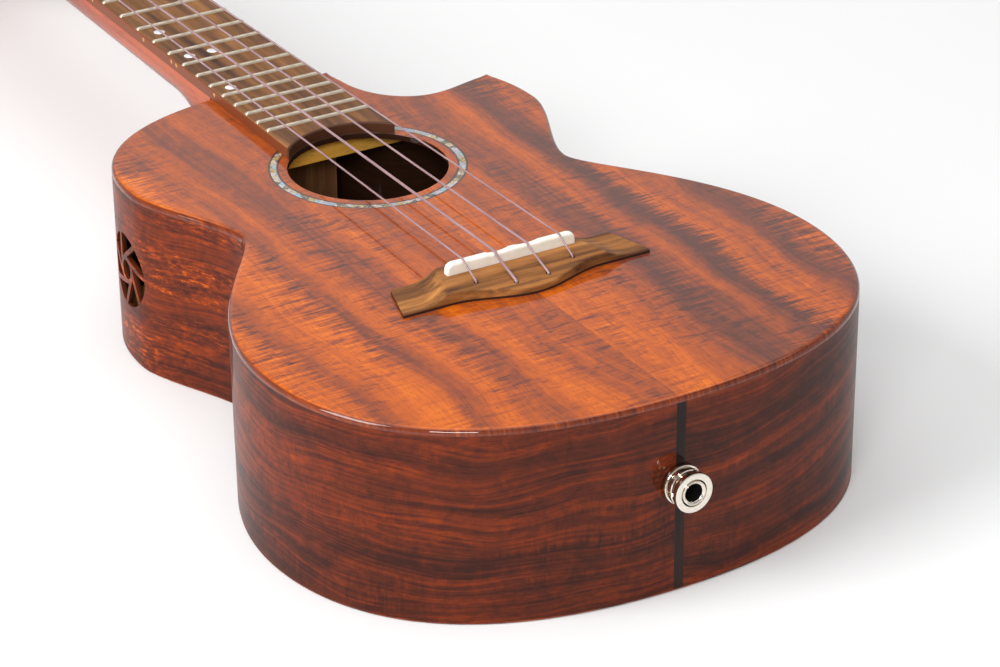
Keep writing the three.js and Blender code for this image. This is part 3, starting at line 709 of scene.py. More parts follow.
def shell_material():
    """Shell laid in small pieces, each of its own hue, with dark joints."""
    s = Shader("shell", Roughness=0.2, Coat_Weight=1.0, Coat_Roughness=0.03)
    x, down, reach = from_hole(s)
    where = s.vector(s.times(s.calc("ARCTAN2", down, x), 13.0), s.times(reach, 260.0))

    def cells(feature, out):
        return s.node("ShaderNodeTexVoronoi", {"Vector": where, "Scale": 1.0}, out,
                      voronoi_dimensions="2D", feature=feature)

    pick = s.parts(cells("F1", "Color"))[0]
    joint = cells("DISTANCE_TO_EDGE", "Distance")
    flow = s.cloud(420, 3.0, 0.6, 1.4)
    tone = s.calc("MULTIPLY_ADD", s.minus(flow, 0.5), 1.0, pick)
    shade = s.ramp(tone, *stops(
        (0.08, 0.24, 0.4, 0.54, 0.66, 0.8, 0.95), (84, 78, 74), (170, 142, 88), (198, 180, 140),
        (128, 146, 196), (214, 196, 164), (160, 138, 140), (140, 176, 186)))
    shade = s.mix(s.span(joint, 0.0, 0.05, 0.75, 0.0), shade, linear(70, 58, 50))
    return s.surface(Base_Color=shade, Normal=s.bump(flow, 0.00003, 0.3))


NICKEL = polished_metal("nickel", (232, 224, 212), 0.1)
FRET_METAL = polished_metal("fret_metal", (226, 214, 194), 0.45)
BRASS = polished_metal("brass", (226, 170, 82), 0.28)
DARK_STEEL = polished_metal("dark_steel", (120, 114, 106), 0.35)
BONE = bone_material()
SHELL = shell_material()
ENDS = (0.3, 0.7)
NYLON = clouded("string_nylon", (500, 60, 500), (3.0,), stops(ENDS, (164, 130, 134), (192, 160, 164)),
                (0.00001, 0.2), (2600, 900, 2600), Roughness=0.22, IOR=1.46, Transmission_Weight=0.3)
PEARL = clouded("pearl", (520, 420, 420), (3.0, 0.55, 1.2),
                stops((0.3, 0.5, 0.7), (198, 206, 216), (236, 238, 240), (222, 214, 210)),
                (0.00002, 0.2), Roughness=0.18, Coat_Weight=0.6, Coat_Roughness=0.05)
DARK_LINE = clouded("dark_line", 700, (3.0,), stops(ENDS, (44, 26, 22), (76, 46, 38)),
                    (0.00002, 0.2), Roughness=0.35, Coat_Weight=1.0, Coat_Roughness=0.03)
BLACK_PLASTIC = clouded("black_plastic", 1800, (2.0,), stops(ENDS, (14, 13, 13), (26, 25, 24)),
                        (0.00002, 0.3), Roughness=0.45)

# ---- body


def hole_ring(radius, z):
    """Points round the soundhole, each one on the ray of its rim point."""
    away = RIM - HOLE_CENTRE
    unit = away / np.linalg.norm(away, axis=1)[:, None]
    return np.column_stack([HOLE_CENTRE + unit * radius, np.full(len(RIM), z)])


def make_soundboard():
    edge_r, hole_edge_r, gap = 2.0, 0.3, 0.3
    section = [hole_ring(HOLE_R, UNDER_TOP_Z), rim_points(0, UNDER_TOP_Z)]
    section += [rim_points(inset, TOP_Z - drop) for inset, drop in quarter_arc(edge_r, 8)]
    outer, inner = rim_points(edge_r + 0.4, TOP_Z), hole_ring(ROSETTE_OUT + gap, TOP_Z)
    section += [outer + (inner - outer) * share for share in (0, 0.3, 0.6, 0.85, 1)]
    groove = TOP_Z - ROSETTE_DEPTH
    section += [hole_ring(r, z) for r, z in (
        (ROSETTE_OUT, TOP_Z), (ROSETTE_OUT, groove), (ROSETTE_IN, groove), (ROSETTE_IN, TOP_Z),
        (ROSETTE_IN - gap, TOP_Z), (HOLE_R + 0.9, TOP_Z))]
    section += [hole_ring(HOLE_R + inset, TOP_Z - drop) for drop, inset in quarter_arc(hole_edge_r, 4)]
    add("soundboard_plate", loft(section, closed_path=True), TOP_WOOD, "koa_top", "soundboard")


def make_rosette():
    bevel, low, sides = 0.06, TOP_Z - ROSETTE_DEPTH, 256
    angles = np.linspace(0, 2 * math.pi, sides, endpoint=False)
    for name, inner, outer, material, slot, *nodes in (
            ("rosette_shell", SHELL_IN, SHELL_OUT, SHELL, "shell", "rosette"),
            ("rosette_line_inner", ROSETTE_IN, SHELL_IN, DARK_LINE, "black_wood"),
            ("rosette_line_outer", SHELL_OUT, ROSETTE_OUT, DARK_LINE, "black_wood")):
        section = [(inner, low), (outer, low), (outer, TOP_Z - bevel), (outer - bevel, TOP_Z),
                   (inner + bevel, TOP_Z), (inner, TOP_Z - bevel)]
        rings = [np.column_stack([r * np.cos(angles), HOLE_Y + r * np.sin(angles), np.full(sides, z)])
                 for r, z in section]
        add(name, loft(rings, closed_path=True), material, slot, *nodes)


def wall(name, rows, material):
    """A bent rib between two marks of the outline."""
    low = back_z(RIM[rows, 1]) + BACK_LIP
    shares = np.linspace(0, 1, 24)
    outer = [rim_points(0, low + (UNDER_TOP_Z - low) * s, rows) for s in shares]
    inner = [rim_points(SIDE_T, low + (UNDER_TOP_Z - low) * s, rows) for s in shares[::-1]]
    return make_object(name, *loft(list(np.stack(outer + inner, axis=1))), material)


RIM_TREE = KDTree(len(RIM))
for i, (px, py) in enumerate(RIM):
    RIM_TREE.insert((px, py, 0), i)
RIM_TREE.balance()


def side_frame(point):
    """The outline's arc length, its outward normal and its distance beside a point in millimetres."""
    _, i, gap = RIM_TREE.find((point[0], point[1], 0))
    along = np.array([RIM_IN[i][1], -RIM_IN[i][0]])
    along /= np.linalg.norm(along)
    step = float((np.array([point[0], point[1]]) - RIM[i]).dot(along))
    j = (i + (1 if step > 0 else -1)) % len(RIM)
    share = min(abs(step) / np.linalg.norm(RIM[j] - RIM[i]), 1.0)
    normal = np.array([*-(RIM_IN[i] * (1 - share) + RIM_IN[j] * share), -DRAFT])
    return RIM_ALONG[i] + step, normal / np.linalg.norm(normal), gap


def lay_grain(obj, depth):
    """Stores where each vertex lies along the rib's grain, across it, and in which plank, with 50
    added to the depth on the inner face."""
    values = []
    for vertex in obj.data.vertices:
        place = vertex.co * 1000
        along, _, gap = side_frame(place)
        inner = gap - DRAFT * (TOP_Z - place[2]) > SIDE_T / 3
        values += [along * 0.001, place[2] * 0.001, depth + 50 * inner]
    grain = obj.data.attributes.new("grain", "FLOAT_VECTOR", "POINT")
    grain.data.foreach_set("vector", values)


def true_side_normals(obj):
    """Gives the long faces of a cut rib the smooth normals of the uncut one."""
    mesh = obj.data
    normals = [None] * len(mesh.loops)
    for face in mesh.polygons:
        for loop in face.loop_indices:
            point = mesh.vertices[mesh.loops[loop].vertex_index].co * 1000
            normal = Vector(side_frame(point)[1])
            facing = normal.dot(face.normal)
            long_face = abs(facing) > 0.93
            normals[loop] = normal * math.copysign(1, facing) if long_face else face.normal.copy()
    mesh.normals_split_custom_set(normals)


def cutter(shape, place=None):
    """A throwaway mesh for cut()."""
    return make_object("cutter", *shape, DARK_LINE, place)


def drill(radius, reach, sides, place):
    """A round cutter along its own y axis."""
    return cutter(solid_lathe([(radius, reach[0]), (radius, reach[1])], sides), place)


def port_cutter():
    """The port's openings: a disc less a pinwheel of bars and the ring that ties them."""
    place = Matrix(((0, 0, -1, -66), (0, 1, 0, PORT_Y), (1, 0, 0, TOP_Z - PORT_DROP), (0, 0, 0, 1)))
    deep, inner = 34, PORT_RING - PORT_BAR
    openings = cutter(prism([(PORT_R * c, PORT_R * s) for c, s in circle(96)], 0, deep), place)
    rings = [[(r * c, r * s, z) for c, s in circle(96)] for r, z in rectangle(inner, PORT_RING, -1, deep + 2)]
    cut(openings, cutter(loft(rings, closed_path=True), place))
    for k in range(PORT_BLADES):
        turn = Matrix.Rotation(2 * math.pi * k / PORT_BLADES, 4, "Z")
        bar = rectangle(0, PORT_R + 4, inner, PORT_RING)
        cut(openings, cutter(prism(bar, -2, deep + 3), place @ turn))
    return openings


JACK_PLACE = Matrix.Translation((0, TAIL_Y, TOP_Z - JACK_DROP))


def make_sides():
    hole = (4.9, (-20, 30), 48, JACK_PLACE)
    right, left = MARKS["graft_right"], MARKS["graft_left"]
    for node, start, end, depth in (("side_treble", right, MARKS["horn"], 0.0),
                                    ("side_cutaway", MARKS["horn"], MARKS["neck"], 0.21),
                                    ("side_bass", MARKS["neck"], left, 0.43)):
        rib = wall(f"{node}_rib", np.arange(start, end + 1), SIDE_WOOD)
        if node == "side_bass":
            cut(rib, port_cutter())
        if node != "side_cutaway":
            cut(rib, drill(*hole))
            true_side_normals(rib)
        lay_grain(rib, depth)
        declare(rib, "koa_sides_back", node)
    rows = np.concatenate([np.arange(left, len(RIM)), np.arange(0, right + 1)])
    graft = wall("end_graft_strip", rows, BLACK_WOOD)
    cut(graft, drill(*hole))
    declare(graft, "black_wood", "end_graft_upper", "end_graft_lower")


def make_back():
    edge_r, middle_r, step = 0.85, 4, SIDE_T + 0.05

    def ring(inset, height):
        flat = RIM + RIM_IN * (inset * RIM_SHARE + DRAFT * (TOP_Z - height))[:, None]
        return np.column_stack([flat, back_z(flat[:, 1]) + height])

    def middle(height):
        points = hole_ring(middle_r, 0)
        points[:, 2] = back_z(points[:, 1]) + height
        return points

    section = [middle(BACK_T), ring(step, BACK_T), ring(step, BACK_LIP), ring(0, BACK_LIP)]
    section += [ring(inset, height) for inset, height in quarter_arc(edge_r, 7)]
    outer, inner = ring(edge_r + 0.4, 0), middle(0)
    section += [outer + (inner - outer) * share for share in (0, 0.35, 0.7, 1)]
    add("back_board", loft(section), BACK_WOOD, "koa_sides_back", "back_plate")
    seam = rectangle(-0.9, 0.9, -0.02, 0.5)
    rings = [[(x, y, back_z(y) + z) for x, z in seam] for y in (TAIL_Y + 3.5, 20, 90, NECK_END_Y - 3)]
    add("back_seam_strip", loft(rings), BLACK_WOOD, "black_wood")


def finish_inside():
    """Gives the CAD's own meshes inside the body their woods."""
    pale = ("lining_top", "lining_back", "upper_brace", "lower_brace", "back_brace_upper",
            "back_brace_lower")
    for node in (*pale, "bridge_plate", "neck_block", "tail_block"):
        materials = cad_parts[node].data.materials
        materials.clear()
        materials.append(PALE_WOOD if node in pale else BLOCK_WOOD)


# ---- neck, head and fretboard

HEEL_Y = 236
NECK_DEPTHS = {HEEL_Y: 18.5, 285: 17.8, 335: 17, 385: 16.2, 428: 15.6, 438: 16.6, 449: 18, 461: 18.4}
CAP_GAP, CAP_T = 1, 1.5
NUT_END_Y = SCALE_LENGTH + NUT_LENGTH


def neck_depth(y):
    """The neck's depth under the soundboard's plane, which grows into the heel."""
    if y >= HEEL_Y:
        return float(np.interp(y, list(NECK_DEPTHS), list(NECK_DEPTHS.values())))
    return 18.5 + 60 * ((HEEL_Y - y) / (HEEL_Y - NECK_END_Y)) ** 3.2


def heel_half(y, z):
    """Half the heel's width at a height."""
    share = min((TOP_Z - z) / neck_depth(y), 1.0) ** (1 / 0.85)
    return board_half(y) * math.sqrt(max(0.0, 1 - share * share))


def heel_z(y):
    """Where the heel's wood ends on its cap."""
    return back_z(y) + CAP_GAP + CAP_T


def make_neck():
    rings = []
    for y in np.concatenate([np.linspace(NECK_END_Y - 1, HEEL_Y, 44), np.linspace(241, 428, 24),
                             np.linspace(431, 461, 18)]):
        top, half = TOP_Z, board_half(y)
        if y > NUT_END_Y:
            top -= (y - NUT_END_Y) * math.tan(HEAD_TILT) + (VENEER_T + 0.3) / math.cos(HEAD_TILT)
        ring = []
        for angle in [math.pi * k / 40 for k in range(41)]:
            z = max(TOP_Z - neck_depth(y) * math.sin(angle) ** 0.85, heel_z(y))
            ring.append((half * math.cos(angle), y, min(z, top)))
        rings.append(ring + [(half * x, y, top) for x in np.linspace(-0.96, 0.96, 9)])
    add("neck_shaft", loft(rings), NECK_WOOD, "neck_wood", "neck")
    reach = NECK_END_Y
    while heel_half(reach + 0.1, heel_z(reach)) > 0.4:
        reach += 0.1
    edge = [(heel_half(y, heel_z(y)), y) for y in np.linspace(NECK_END_Y + 0.1, reach, 30)]
    outline = np.array(edge + [(-x, y) for x, y in edge[::-1]])
    cap = [[(x, y, back_z(y) + CAP_GAP + rise) for x, y in outline + inward_normals(outline) * inset]
           for inset, rise in ((0.5, 0), (0.12, 0.12), (0, 0.5), (0, CAP_T))]
    add("heel_cap", loft(cap), HEAD_WOOD, "black_wood")


def head_outline(start):
    base = NUT_WIDTH / 2 + 0.5
    right = joined([
        bezier((base, start), (base + 1, 12), (30, 14), (31, 26), 24),
        np.array([(31, 26), (28.5, 118)]),
        bezier((28.5, 118), (28.17, 124.67), (24.67, 128.5), (18, 129.5), 14),
        bezier((18, 129.5), (6, 132.5), (2, 131.75), (0, 131.75), 12),
    ])
    return np.vstack([right, right[::-1][1:] * (-1, 1)])


UPRIGHT = Matrix.Rotation(math.pi / 2, 4, "X")  # stands a lathe's y axis up along z


def make_head():
    for name, start, low, high, r_low, r_high, material, slot, *nodes in (
            ("head_blank", -2, -HEAD_T, -VENEER_T - 0.05, 1.6, 0.0, NECK_WOOD, "neck_wood"),
            ("head_face", 0.6, -VENEER_T, 0, 0.0, 0.7, HEAD_WOOD, "black_wood", "head_veneer")):
        shape = rounded_plate(head_outline(start), low, high, r_low, r_high)
        part = make_object(name, *shape, material, HEAD_PLACE)
        cut(part, *[drill(3.4, (-25, 25), 40, HEAD_PLACE @ Matrix.Translation((x, y, 0)) @ UPRIGHT)
                    for x, y in POSTS.values()])
        declare(part, slot, *nodes)


def make_fretboard():
    reach = HOLE_R + 0.05
    end_half, nut_half = board_half(HOLE_Y + 20), board_half(SCALE_LENGTH)
    outline = [(x, HOLE_Y + math.sqrt(reach * reach - x * x)) for x in np.linspace(-end_half, end_half, 60)]
    outline += [(nut_half, SCALE_LENGTH), (-nut_half, SCALE_LENGTH)]
    plank = rounded_plate(outline, TOP_Z, BOARD_Z, 0.0, 0.5)
    add("fretboard_plank", plank, BOARD_WOOD, "board_wood", "fretboard")


def make_frets():
    bead = [(FRET_WIRE / 2 * math.cos(a), math.sin(a)) for a in [math.pi * k / 12 for k in range(13)]]
    for fret in range(1, 20):
        y, half = fret_y(fret), board_half(fret_y(fret)) - 0.35
        ends = [(half - inset, height) for inset, height in
                ((0, 0.12), (0.12, 0.42), (0.4, 0.78), (0.8, 0.96), (1.3, 1))]
        rings = []
        for x, height in [(-x, h) for x, h in ends] + ends[::-1]:
            foot = [(x, y - FRET_WIRE / 2, BOARD_Z - 0.3), (x, y + FRET_WIRE / 2, BOARD_Z - 0.3)]
            rings.append(foot + [(x, y + across, BOARD_Z + FRET_H * height * rise) for across, rise in bead])
        add(f"fret_wire_{fret:02d}", loft(rings), FRET_METAL, "fret_metal", f"fret_{fret:02d}")


def dot(name, centre, axis, radius, material, slot):
    """A small inlaid disc with a rounded face."""
    turn = Vector(axis).to_track_quat("Y", "Z").to_matrix().to_4x4()
    profile = [(radius, -0.6), (radius, -0.06), (radius - 0.12, 0.02), (0.02, 0.05)]
    add(name, solid_lathe(profile, 40), material, slot, place=Matrix.Translation(centre) @ turn)


def make_dots():
    """Face dots lie towards the bass edge and edge dots on it, a little headward of mid-fret."""
    for fret, places in {5: (-12.6,), 7: (-12.8,), 10: (-13.1,), 12: (-13.7, -3.7), 15: (-14.2,)}.items():
        y = (fret_y(fret) + fret_y(fret - 1)) / 2 + 0.8
        for k, x in enumerate(places, 1):
            dot(f"face_dot_{fret}_{k}", (x, y, BOARD_Z), (0, 0, 1), 2.3, PEARL, "shell")
    for fret in (3, 5, 7, 10, 12, 15):
        for k, step in enumerate((2.2, -2.2) if fret == 12 else (0,), 1):
            y = (fret_y(fret) + fret_y(fret - 1)) / 2 + 0.6 + step
            dot(f"edge_dot_{fret}_{k}", (-board_half(y), y, TOP_Z + 2.6), (-1, 0, 0), 0.95, BRASS, "nickel")


def make_nut():
    y0, y1, half = SCALE_LENGTH, NUT_END_Y, NUT_WIDTH / 2
    top, slot_z = BOARD_Z + 2.4, BOARD_Z + 1.25
    section = [(y0, TOP_Z), (y1, TOP_Z), (y1, top - 1.6), (y1 - 0.4, top - 0.9), (y1 - 1.4, top - 0.25),
               (y1 - 2.6, top), (y0 + 0.5, top), (y0 + 0.12, top - 0.15), (y0, top - 0.5)]
    ends = [(half, 0.35), (half - 0.15, 0.1), (half - 0.45, 0)]
    rings = []
    for x, pinch in [(-x, pinch) for x, pinch in ends] + ends[::-1]:
        rings.append([(x, y + (pinch if y < (y0 + y1) / 2 else -pinch), z - pinch * (z > TOP_Z + 3))
                      for y, z in section])
    nut = make_object("nut_bone", *loft(rings), BONE)
    cutters = []
    for s in STRINGS.values():
        r = s["d"] / 2 + 0.12
        slot = [(-r, 6), (-r, r), (-r * 0.7, r * 0.3), (0, 0), (r * 0.7, r * 0.3), (r, r), (r, 6)]
        cutters.append(cutter(loft([[(s["nut"] + x, y, slot_z + z - fall) for x, z in slot]
                                    for y, fall in ((y0 - 1, 0), (y0 + 2, 0), (y1 + 1, 0.3))])))
    cut(nut, *cutters)
    declare(nut, "bone", "nut")


# ---- bridge, saddle and strings

SADDLE_X, SADDLE_Y = -0.7, 0.5
SADDLE_HALF, SADDLE_T = 26.2, 3.0
BRIDGE_FRONT, BRIDGE_WING = 7.2, -12.2
BRIDGE_HALF_FRONT, BRIDGE_HALF_REAR = 44.8, 50.6
BRIDGE_BLOCK, BLOCK_H = 31.0, 5.4
BLOCK_FALL_Y = -6.8


def bridge_share(y):
    """How far a place lies from the bridge's front edge to its wings' rear edge."""
    return min((BRIDGE_FRONT - y) / (BRIDGE_FRONT - BRIDGE_WING), 1)


def bridge_half(y):
    return BRIDGE_HALF_FRONT + (BRIDGE_HALF_REAR - BRIDGE_HALF_FRONT) * bridge_share(y)


def bridge_rear(x):
    if abs(x) >= BRIDGE_BLOCK:
        return BRIDGE_WING
    return BRIDGE_WING - 7.2 * math.cos(math.pi * x / (2 * BRIDGE_BLOCK)) ** 2


def bridge_top(x, y):
    """Height of the bridge over the soundboard: a block that falls to the rear, and scooped wings."""
    share = bridge_share(y)
    crease = 26.6 + 6.0 * share
    block = BLOCK_H
    if y < BLOCK_FALL_Y:
        block -= 2.6 * min((BLOCK_FALL_Y - y) / 12.6, 1) ** 1.5
    if abs(x) <= crease:
        return block
    wing = (abs(x) - crease) / (bridge_half(y) - crease)
    low = 1.7 - 0.3 * share
    return min(low + (block - low) * max(0.0, 1 - wing / 0.62) ** 2.0, block)


def make_bridge():
    r, bevel, rings = 0.45, 0.13, []
    for place in np.linspace(-1, 1, 141):
        def at(y, z):
            return SADDLE_X + place * bridge_half(y), y, TOP_Z + z

        def top_at(y):
            return bridge_top(place * bridge_half(y), y)

        front, rear = BRIDGE_FRONT, bridge_rear(place * BRIDGE_HALF_REAR)
        ring = [at(front, 0), at(front, top_at(front) - r), at(front - bevel, top_at(front) - bevel)]
        ring += [at(y, top_at(y)) for y in np.linspace(front - r, rear + r, 26)]
        ring += [at(rear + bevel, top_at(rear) - bevel), at(rear, top_at(rear) - r), at(rear, 0)]
        rings.append(ring)
    bridge = make_object("bridge_block", *loft(rings), BRIDGE_WOOD)
    slot = rectangle(SADDLE_X - 26.3, SADDLE_X + 26.3, SADDLE_Y - 1.6, SADDLE_Y + 1.6)
    tools = [cutter(prism(slot, TOP_Z + 2.6, TOP_Z + 14))]
    for s in STRINGS.values():
        place = Matrix.Translation((s["saddle"], s["hole"], TOP_Z)) @ UPRIGHT
        tools.append(drill(0.95, (-20, 20), 24, place))
    cut(bridge, *tools)
    declare(bridge, "bridge_wood", "bridge")


def saddle_crest(x):
    """Height and set-back of the saddle's compensated crest."""
    height, back = 9.9, 0.0
    for centre, width, depth in ((-5.8, 4.6, 0.75), (6.4, 4.8, 0.45)):
        bell = max(0.0, 1 - ((x - centre) / width) ** 2) ** 0.6
        height -= depth * bell * 0.75
        back -= bell * 0.5
    return height, back


def make_saddle():
    corner, round_h, foot = 2.6, 1.1, TOP_Z + 2.7
    left = [-SADDLE_HALF + inset for inset in (0, 0.1, 0.35, 0.8, 1.5)]
    middle = np.linspace(-SADDLE_HALF + corner, SADDLE_HALF - corner, 90)
    rings = []
    for x in [*left, *middle, *[-x for x in left[::-1]]]:
        top, back = saddle_crest(x + SADDLE_X)
        into = SADDLE_HALF - abs(x)
        if into < corner:
            top -= corner * (1 - math.sqrt(max(0.0, 1 - (1 - into / corner) ** 2))) * 0.95
        thin = SADDLE_T / 2 - 0.35 * max(0.0, 1 - into / 0.5)
        shoulder = TOP_Z + top - round_h
        ring = [(x, SADDLE_Y - thin, foot), (x, SADDLE_Y - thin, shoulder - 0.4)]
        for a in [math.pi * k / 8 for k in range(9)]:
            y = SADDLE_Y - thin * math.cos(a) + back * math.sin(a) * 0.6
            ring.append((x, y, shoulder + round_h * math.sin(a) ** 0.8))
        rings.append(ring + [(x, SADDLE_Y + thin, shoulder - 0.4), (x, SADDLE_Y + thin, foot)])
    place = Matrix.Translation((SADDLE_X, 0, 0))
    add("saddle_bone", loft(rings), BONE, "bone", "saddle", place=place, sharp=50)


def make_strings():
    """Each string from its knot under the bridge, over saddle and nut, and round its post."""
    knot = [(0.02, -1.7), (0.9, -1.45), (1.5, -0.8), (1.7, 0), (1.5, 0.8), (0.9, 1.45), (0.02, 1.7)]
    steps_a_turn, wrap_steps = 24, 66
    for name, s in STRINGS.items():
        r, x0, x1, hole = s["d"] / 2, s["saddle"], s["nut"], s["hole"]
        crest = TOP_Z + saddle_crest(x0)[0] + r
        rim = TOP_Z + bridge_top(x0 - SADDLE_X, hole) + r
        nut_top = BOARD_Z + 1.3 + r
        path = [(hole, UNDER_TOP_Z - 5), (hole, rim - 2.5), (hole + 0.15, rim - 0.9),
                (hole + 0.75, rim + 0.25), (SADDLE_Y - 2.7, crest - 1.25), (SADDLE_Y - 1.5, crest - 0.42),
                (SADDLE_Y - 0.5, crest - 0.03), (SADDLE_Y + 0.3, crest), (SADDLE_Y + 2, crest - 0.04)]
        start = smooth_path([(x0, y, z) for y, z in path], 6)
        y = np.linspace(12, SCALE_LENGTH - 3, 26)
        share = y / SCALE_LENGTH
        middle = np.column_stack([x0 + (x1 - x0) * share, y, crest + (nut_top - crest) * share])
        after = [(x1, SCALE_LENGTH + 1.5, nut_top), (x1, SCALE_LENGTH + 3.6, nut_top - 0.35)]
        px, py = POSTS[name]
        side, wrap = math.copysign(1, px), 2.25 + r
        turns = []
        for k in range(wrap_steps):
            a = (math.pi if px > 0 else 0) - side * 2 * math.pi * k / steps_a_turn
            low = 6.3 - 2 * r * 1.03 * k / steps_a_turn
            turns.append(HEAD_PLACE @ Vector((px + wrap * math.cos(a), py + wrap * math.sin(a), low)))
        full = np.vstack([start, middle, after, [tuple(p) for p in turns]])
        add(f"string_{name}_line", tube(full, r, 12), NYLON, "string", f"string_{name}")
        place = Matrix.Translation((x0, hole, UNDER_TOP_Z - 5)) @ UPRIGHT
        add(f"string_{name}_knot", solid_lathe(knot, 20), NYLON, "string", place=place)


# ---- end jack


def make_jack():
    for name, material, sides, profile, *nodes in (
            ("jack_tube", NICKEL, 72,
             [(3.75, 29), (3.75, -7.2), (3.3, -7.6), (3.3, -8), (3.5, -8.3), (4.2, -8.6), (4.5, -8.5),
              (4.6, -8.2), (4.75, -7.9), (4.75, 31.6), (4.4, 32), (0.03, 32), (0.03, 29)], "jack_barrel"),
            ("jack_sleeve", BLACK_PLASTIC, 48,
             [(3.25, -7.3), (3.7, -7), (3.7, 28.9), (0.03, 28.9), (0.03, 28), (3.25, 28)]),
            ("jack_flange", NICKEL, 96,
             [(4.95, -7.9), (5.1, -8.3), (5.3, -8.4), (7.1, -8.4), (7.35, -8.25), (7.4, -8), (7.4, -6.5),
              (7.3, -6.2), (6.95, -6.05), (6.25, -6), (6.15, -5.85), (6.15, -5.1), (4.95, -5.1)],
             "jack_collar"),
            ("jack_washer", NICKEL, 96,
             [(4.95, -1.4), (6.9, -1.4), (7.3, -1.25), (7.4, -1), (7.4, -0.1), (4.95, -0.1)]),
            ("jack_inner_nut", NICKEL, 6, rectangle(4.95, 8.0, 14.2, 16.6))):
        add(name, lathe(profile, sides), material, "nickel", *nodes, place=JACK_PLACE)
    profile = [(4.95, -5), (6.3, -5), (6.5, -4.9), (6.6, -4.3), (6.95, -4.1), (7, -3.9), (7, -2.6),
               (6.8, -2.35), (6.15, -2.2), (6.1, -1.5), (4.95, -1.5)]
    ring = make_object("jack_nut", *lathe(profile, 96), NICKEL, JACK_PLACE)
    notch = prism(rectangle(-0.8, 0.8, -5.6, -3.5), 5.9, 9.0)
    cut(ring, *[cutter(notch, JACK_PLACE @ Matrix.Rotation(2 * math.pi * (k + 0.42) / 6, 4, "Y"))
                for k in range(6)])
    declare(ring, "nickel")


# ---- tuners

POST = [(0.02, -14.3), (2.9, -14.3), (3, -14.1), (3, 3.9), (2.85, 4.15), (2.25, 4.5), (2.2, 5.4),
        (2.25, 6.5), (2.75, 6.85), (3, 7.1), (3, 7.6), (2.7, 7.92), (2.2, 8), (0.02, 8)]
BUSHING = [(3.4, -1.5), (5.2, 0.02), (5.2, 0.5), (4.9, 0.8), (4.4, 0.95), (4.2, 1.5), (3.9, 1.8), (3.4, 1.8)]
SCREW = [(1.8, 1.2), (1.8, 0.6), (1.75, 0.2), (1.5, 0), (0.02, 0)]
COLLAR = [(0.02, 6.3), (3.3, 6.3), (3.3, 6.6), (3, 6.75), (2.3, 6.78), (0.02, 6.78)]
SHAFT = [(0.02, 6.85), (1.9, 6.85), (2, 7), (2, 11.8), (2.3, 12.1), (3.1, 12.6), (3.2, 13),
         (3.2, 13.9), (0.02, 13.9)]
KNOB = [(0.02, 13), (2.5, 13.05), (4, 13.4), (5.6, 14.6), (6.9, 16.3), (7.8, 18.3), (8.3, 20.3),
        (8.4, 21.8), (8.1, 23.8), (7.2, 25.7), (5.8, 27.2), (4, 28.3), (2, 28.85), (0.02, 29)]
KNOB_R, KNOB_HALF_T = 8.4, 4.2


def make_tuners():
    base = -HEAD_T - 0.8
    lid = base - 1.2
    screw_slot = [[(x, y, z) for x, z in rectangle(-2.2, 2.2, -0.22, 0.22)] for y in (-1, 0.28)]
    knob_verts, knob_faces = solid_lathe(KNOB, 56)
    across = knob_verts[:, 2]
    knob_verts[:, 2] = np.sign(across) * np.abs(across / KNOB_R) ** 0.9 * KNOB_HALF_T
    for name, (x, y) in POSTS.items():
        out = 1 if x > 0 else -1
        spot = HEAD_PLACE @ Matrix.Translation((x, y, 0))
        screw_place = spot @ Matrix.Translation((-2.6 * out, -5.4, base - 8)) @ UPRIGHT
        screw_place = screw_place @ Matrix.Translation((0, -0.15, 0))
        axle = spot @ Matrix.Translation((0, 0, base - 4)) @ Matrix.Rotation(-math.pi / 2 * out, 4, "Z")
        box = rounded_rectangle(-6.5, 6.5, -9, 9, 2.6, 6) * (1 if out > 0 else -1)
        rim = rounded_rectangle(-6.9, 6.9, -9, 9, 2.8, 6)

        pin = make_object(f"post_{name}_pin", *solid_lathe(POST, 48), NICKEL, spot @ UPRIGHT)
        bore = spot @ Matrix.Translation((0, 0, 5.5)) @ Matrix.Rotation(math.pi / 3, 4, "Z")
        cut(pin, drill(0.75, (-5, 5), 20, bore))
        declare(pin, "nickel", f"post_{name}", body=f"tuner_post_{name}")
        add(f"bushing_{name}", lathe(BUSHING, 48), NICKEL, "nickel", place=spot @ UPRIGHT)
        add(f"gearbox_{name}_cover", rounded_plate(box, base - 8, lid, 2.0, 0.2, 6), NICKEL, "nickel",
            f"gearbox_{name}", place=spot)
        add(f"gearbox_{name}_plate", rounded_plate(rim, lid, -HEAD_T - 0.02, 0.3, 0.0, 3), NICKEL, "nickel",
            place=spot)
        screw = make_object(f"gearbox_{name}_screw", *solid_lathe(SCREW, 32), DARK_STEEL, screw_place)
        cut(screw, *[cutter(loft(screw_slot), screw_place @ Matrix.Rotation(turn, 4, "Y"))
                     for turn in (0.4, 0.4 + math.pi / 2)])
        declare(screw, "nickel")
        add(f"gearbox_{name}_collar", solid_lathe(COLLAR, 40), NICKEL, "nickel", place=axle)
        button = f"tuner_button_{name}"
        add(f"button_{name}_knob", (knob_verts, knob_faces), NICKEL, "nickel", f"button_{name}",
            place=axle, body=button)
        add(f"button_{name}_shaft", solid_lathe(SHAFT, 40), NICKEL, "nickel", place=axle, body=button)


for make in (make_soundboard, make_rosette, make_sides, make_back, finish_inside, make_neck, make_head,
             make_fretboard, make_frets, make_dots, make_nut, make_bridge, make_saddle, make_strings,
             make_jack, make_tuners):
    make()

# ---- stage, light and camera


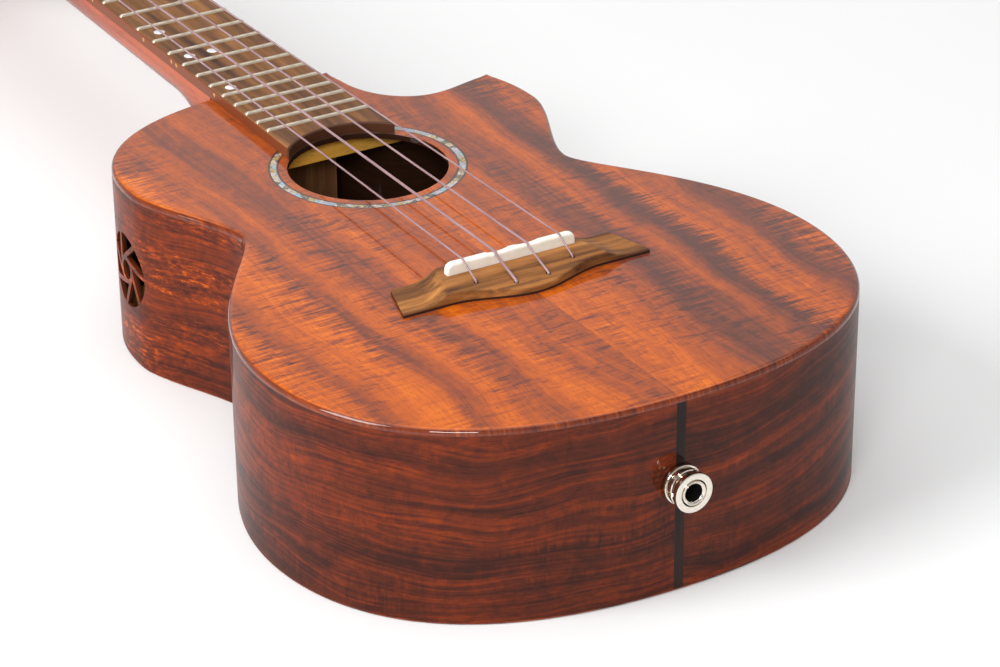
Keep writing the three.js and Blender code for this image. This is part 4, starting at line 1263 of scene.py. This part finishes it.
def make_stage():
    reach = 6.0
    mesh = bpy.data.meshes.new("floor")
    corners = [(x, y, BACK_SLOPE * y - 0.0001) for x, y in rectangle(-reach, reach, -reach, reach)]
    mesh.from_pydata(corners, [], [(0, 1, 2, 3)])
    floor = bpy.data.objects.new("floor", mesh)
    bpy.context.scene.collection.objects.link(floor)
    s = Shader("floor", Roughness=0.9)
    mesh.materials.append(s.surface(Base_Color=s.ramp(s.cloud(3, 2.0), (0.3, 0.82), (0.7, 0.84))))


def area_light(name, place, target, size, power):
    light = bpy.data.lights.new(name, "AREA")
    light.shape = "RECTANGLE"
    light.size, light.size_y = size
    light.energy = power
    obj = bpy.data.objects.new(name, light)
    obj.location = place
    obj.rotation_euler = (Vector(target) - Vector(place)).to_track_quat("-Z", "Y").to_euler()
    bpy.context.scene.collection.objects.link(obj)


def make_world():
    """A pale room, bright up to some 25 degrees over the horizon and darker above."""
    s = Shader("studio", bpy.data.worlds, "Background", Strength=0.66)
    height = s.parts(s.node("ShaderNodeTexCoord", out="Generated"))[2]
    bpy.context.scene.world = s.surface(Color=s.ramp(height, (0.425, 1), (0.475, 0.5), (1, 0.32)))


def make_camera():
    """The eye's place and the way it faces, with a long lens."""
    azimuth, elevation, roll = (math.radians(angle) for angle in (-30.335, 26.768, -0.524))
    cam = bpy.data.objects.new("camera", bpy.data.cameras.new("camera"))
    cam.matrix_world = (Matrix.Translation((-0.7609, -1.2912, 0.8054)) @ Matrix.Rotation(azimuth, 4, "Z")
                        @ Matrix.Rotation(math.pi / 2 - elevation, 4, "X") @ Matrix.Rotation(roll, 4, "Z"))
    cam.data.sensor_width = 36
    cam.data.lens = 169.2
    cam.data.clip_start, cam.data.clip_end = 0.05, 50
    bpy.context.scene.collection.objects.link(cam)
    bpy.context.scene.camera = cam


make_stage()
make_world()
area_light("key", (-1.38, 0.06, 1.02), (0, 0, 0.04), (0.85, 0.8), 22)
area_light("front", (-0.95, -1.25, 0.98), (0, 0, 0.04), (0.6, 0.3), 13)
area_light("top", (0.1, 0.1, 3.0), (0, 0, 0.03), (4.2, 4.2), 62)
make_camera()
bpy.context.scene.view_settings.view_transform = "Standard"
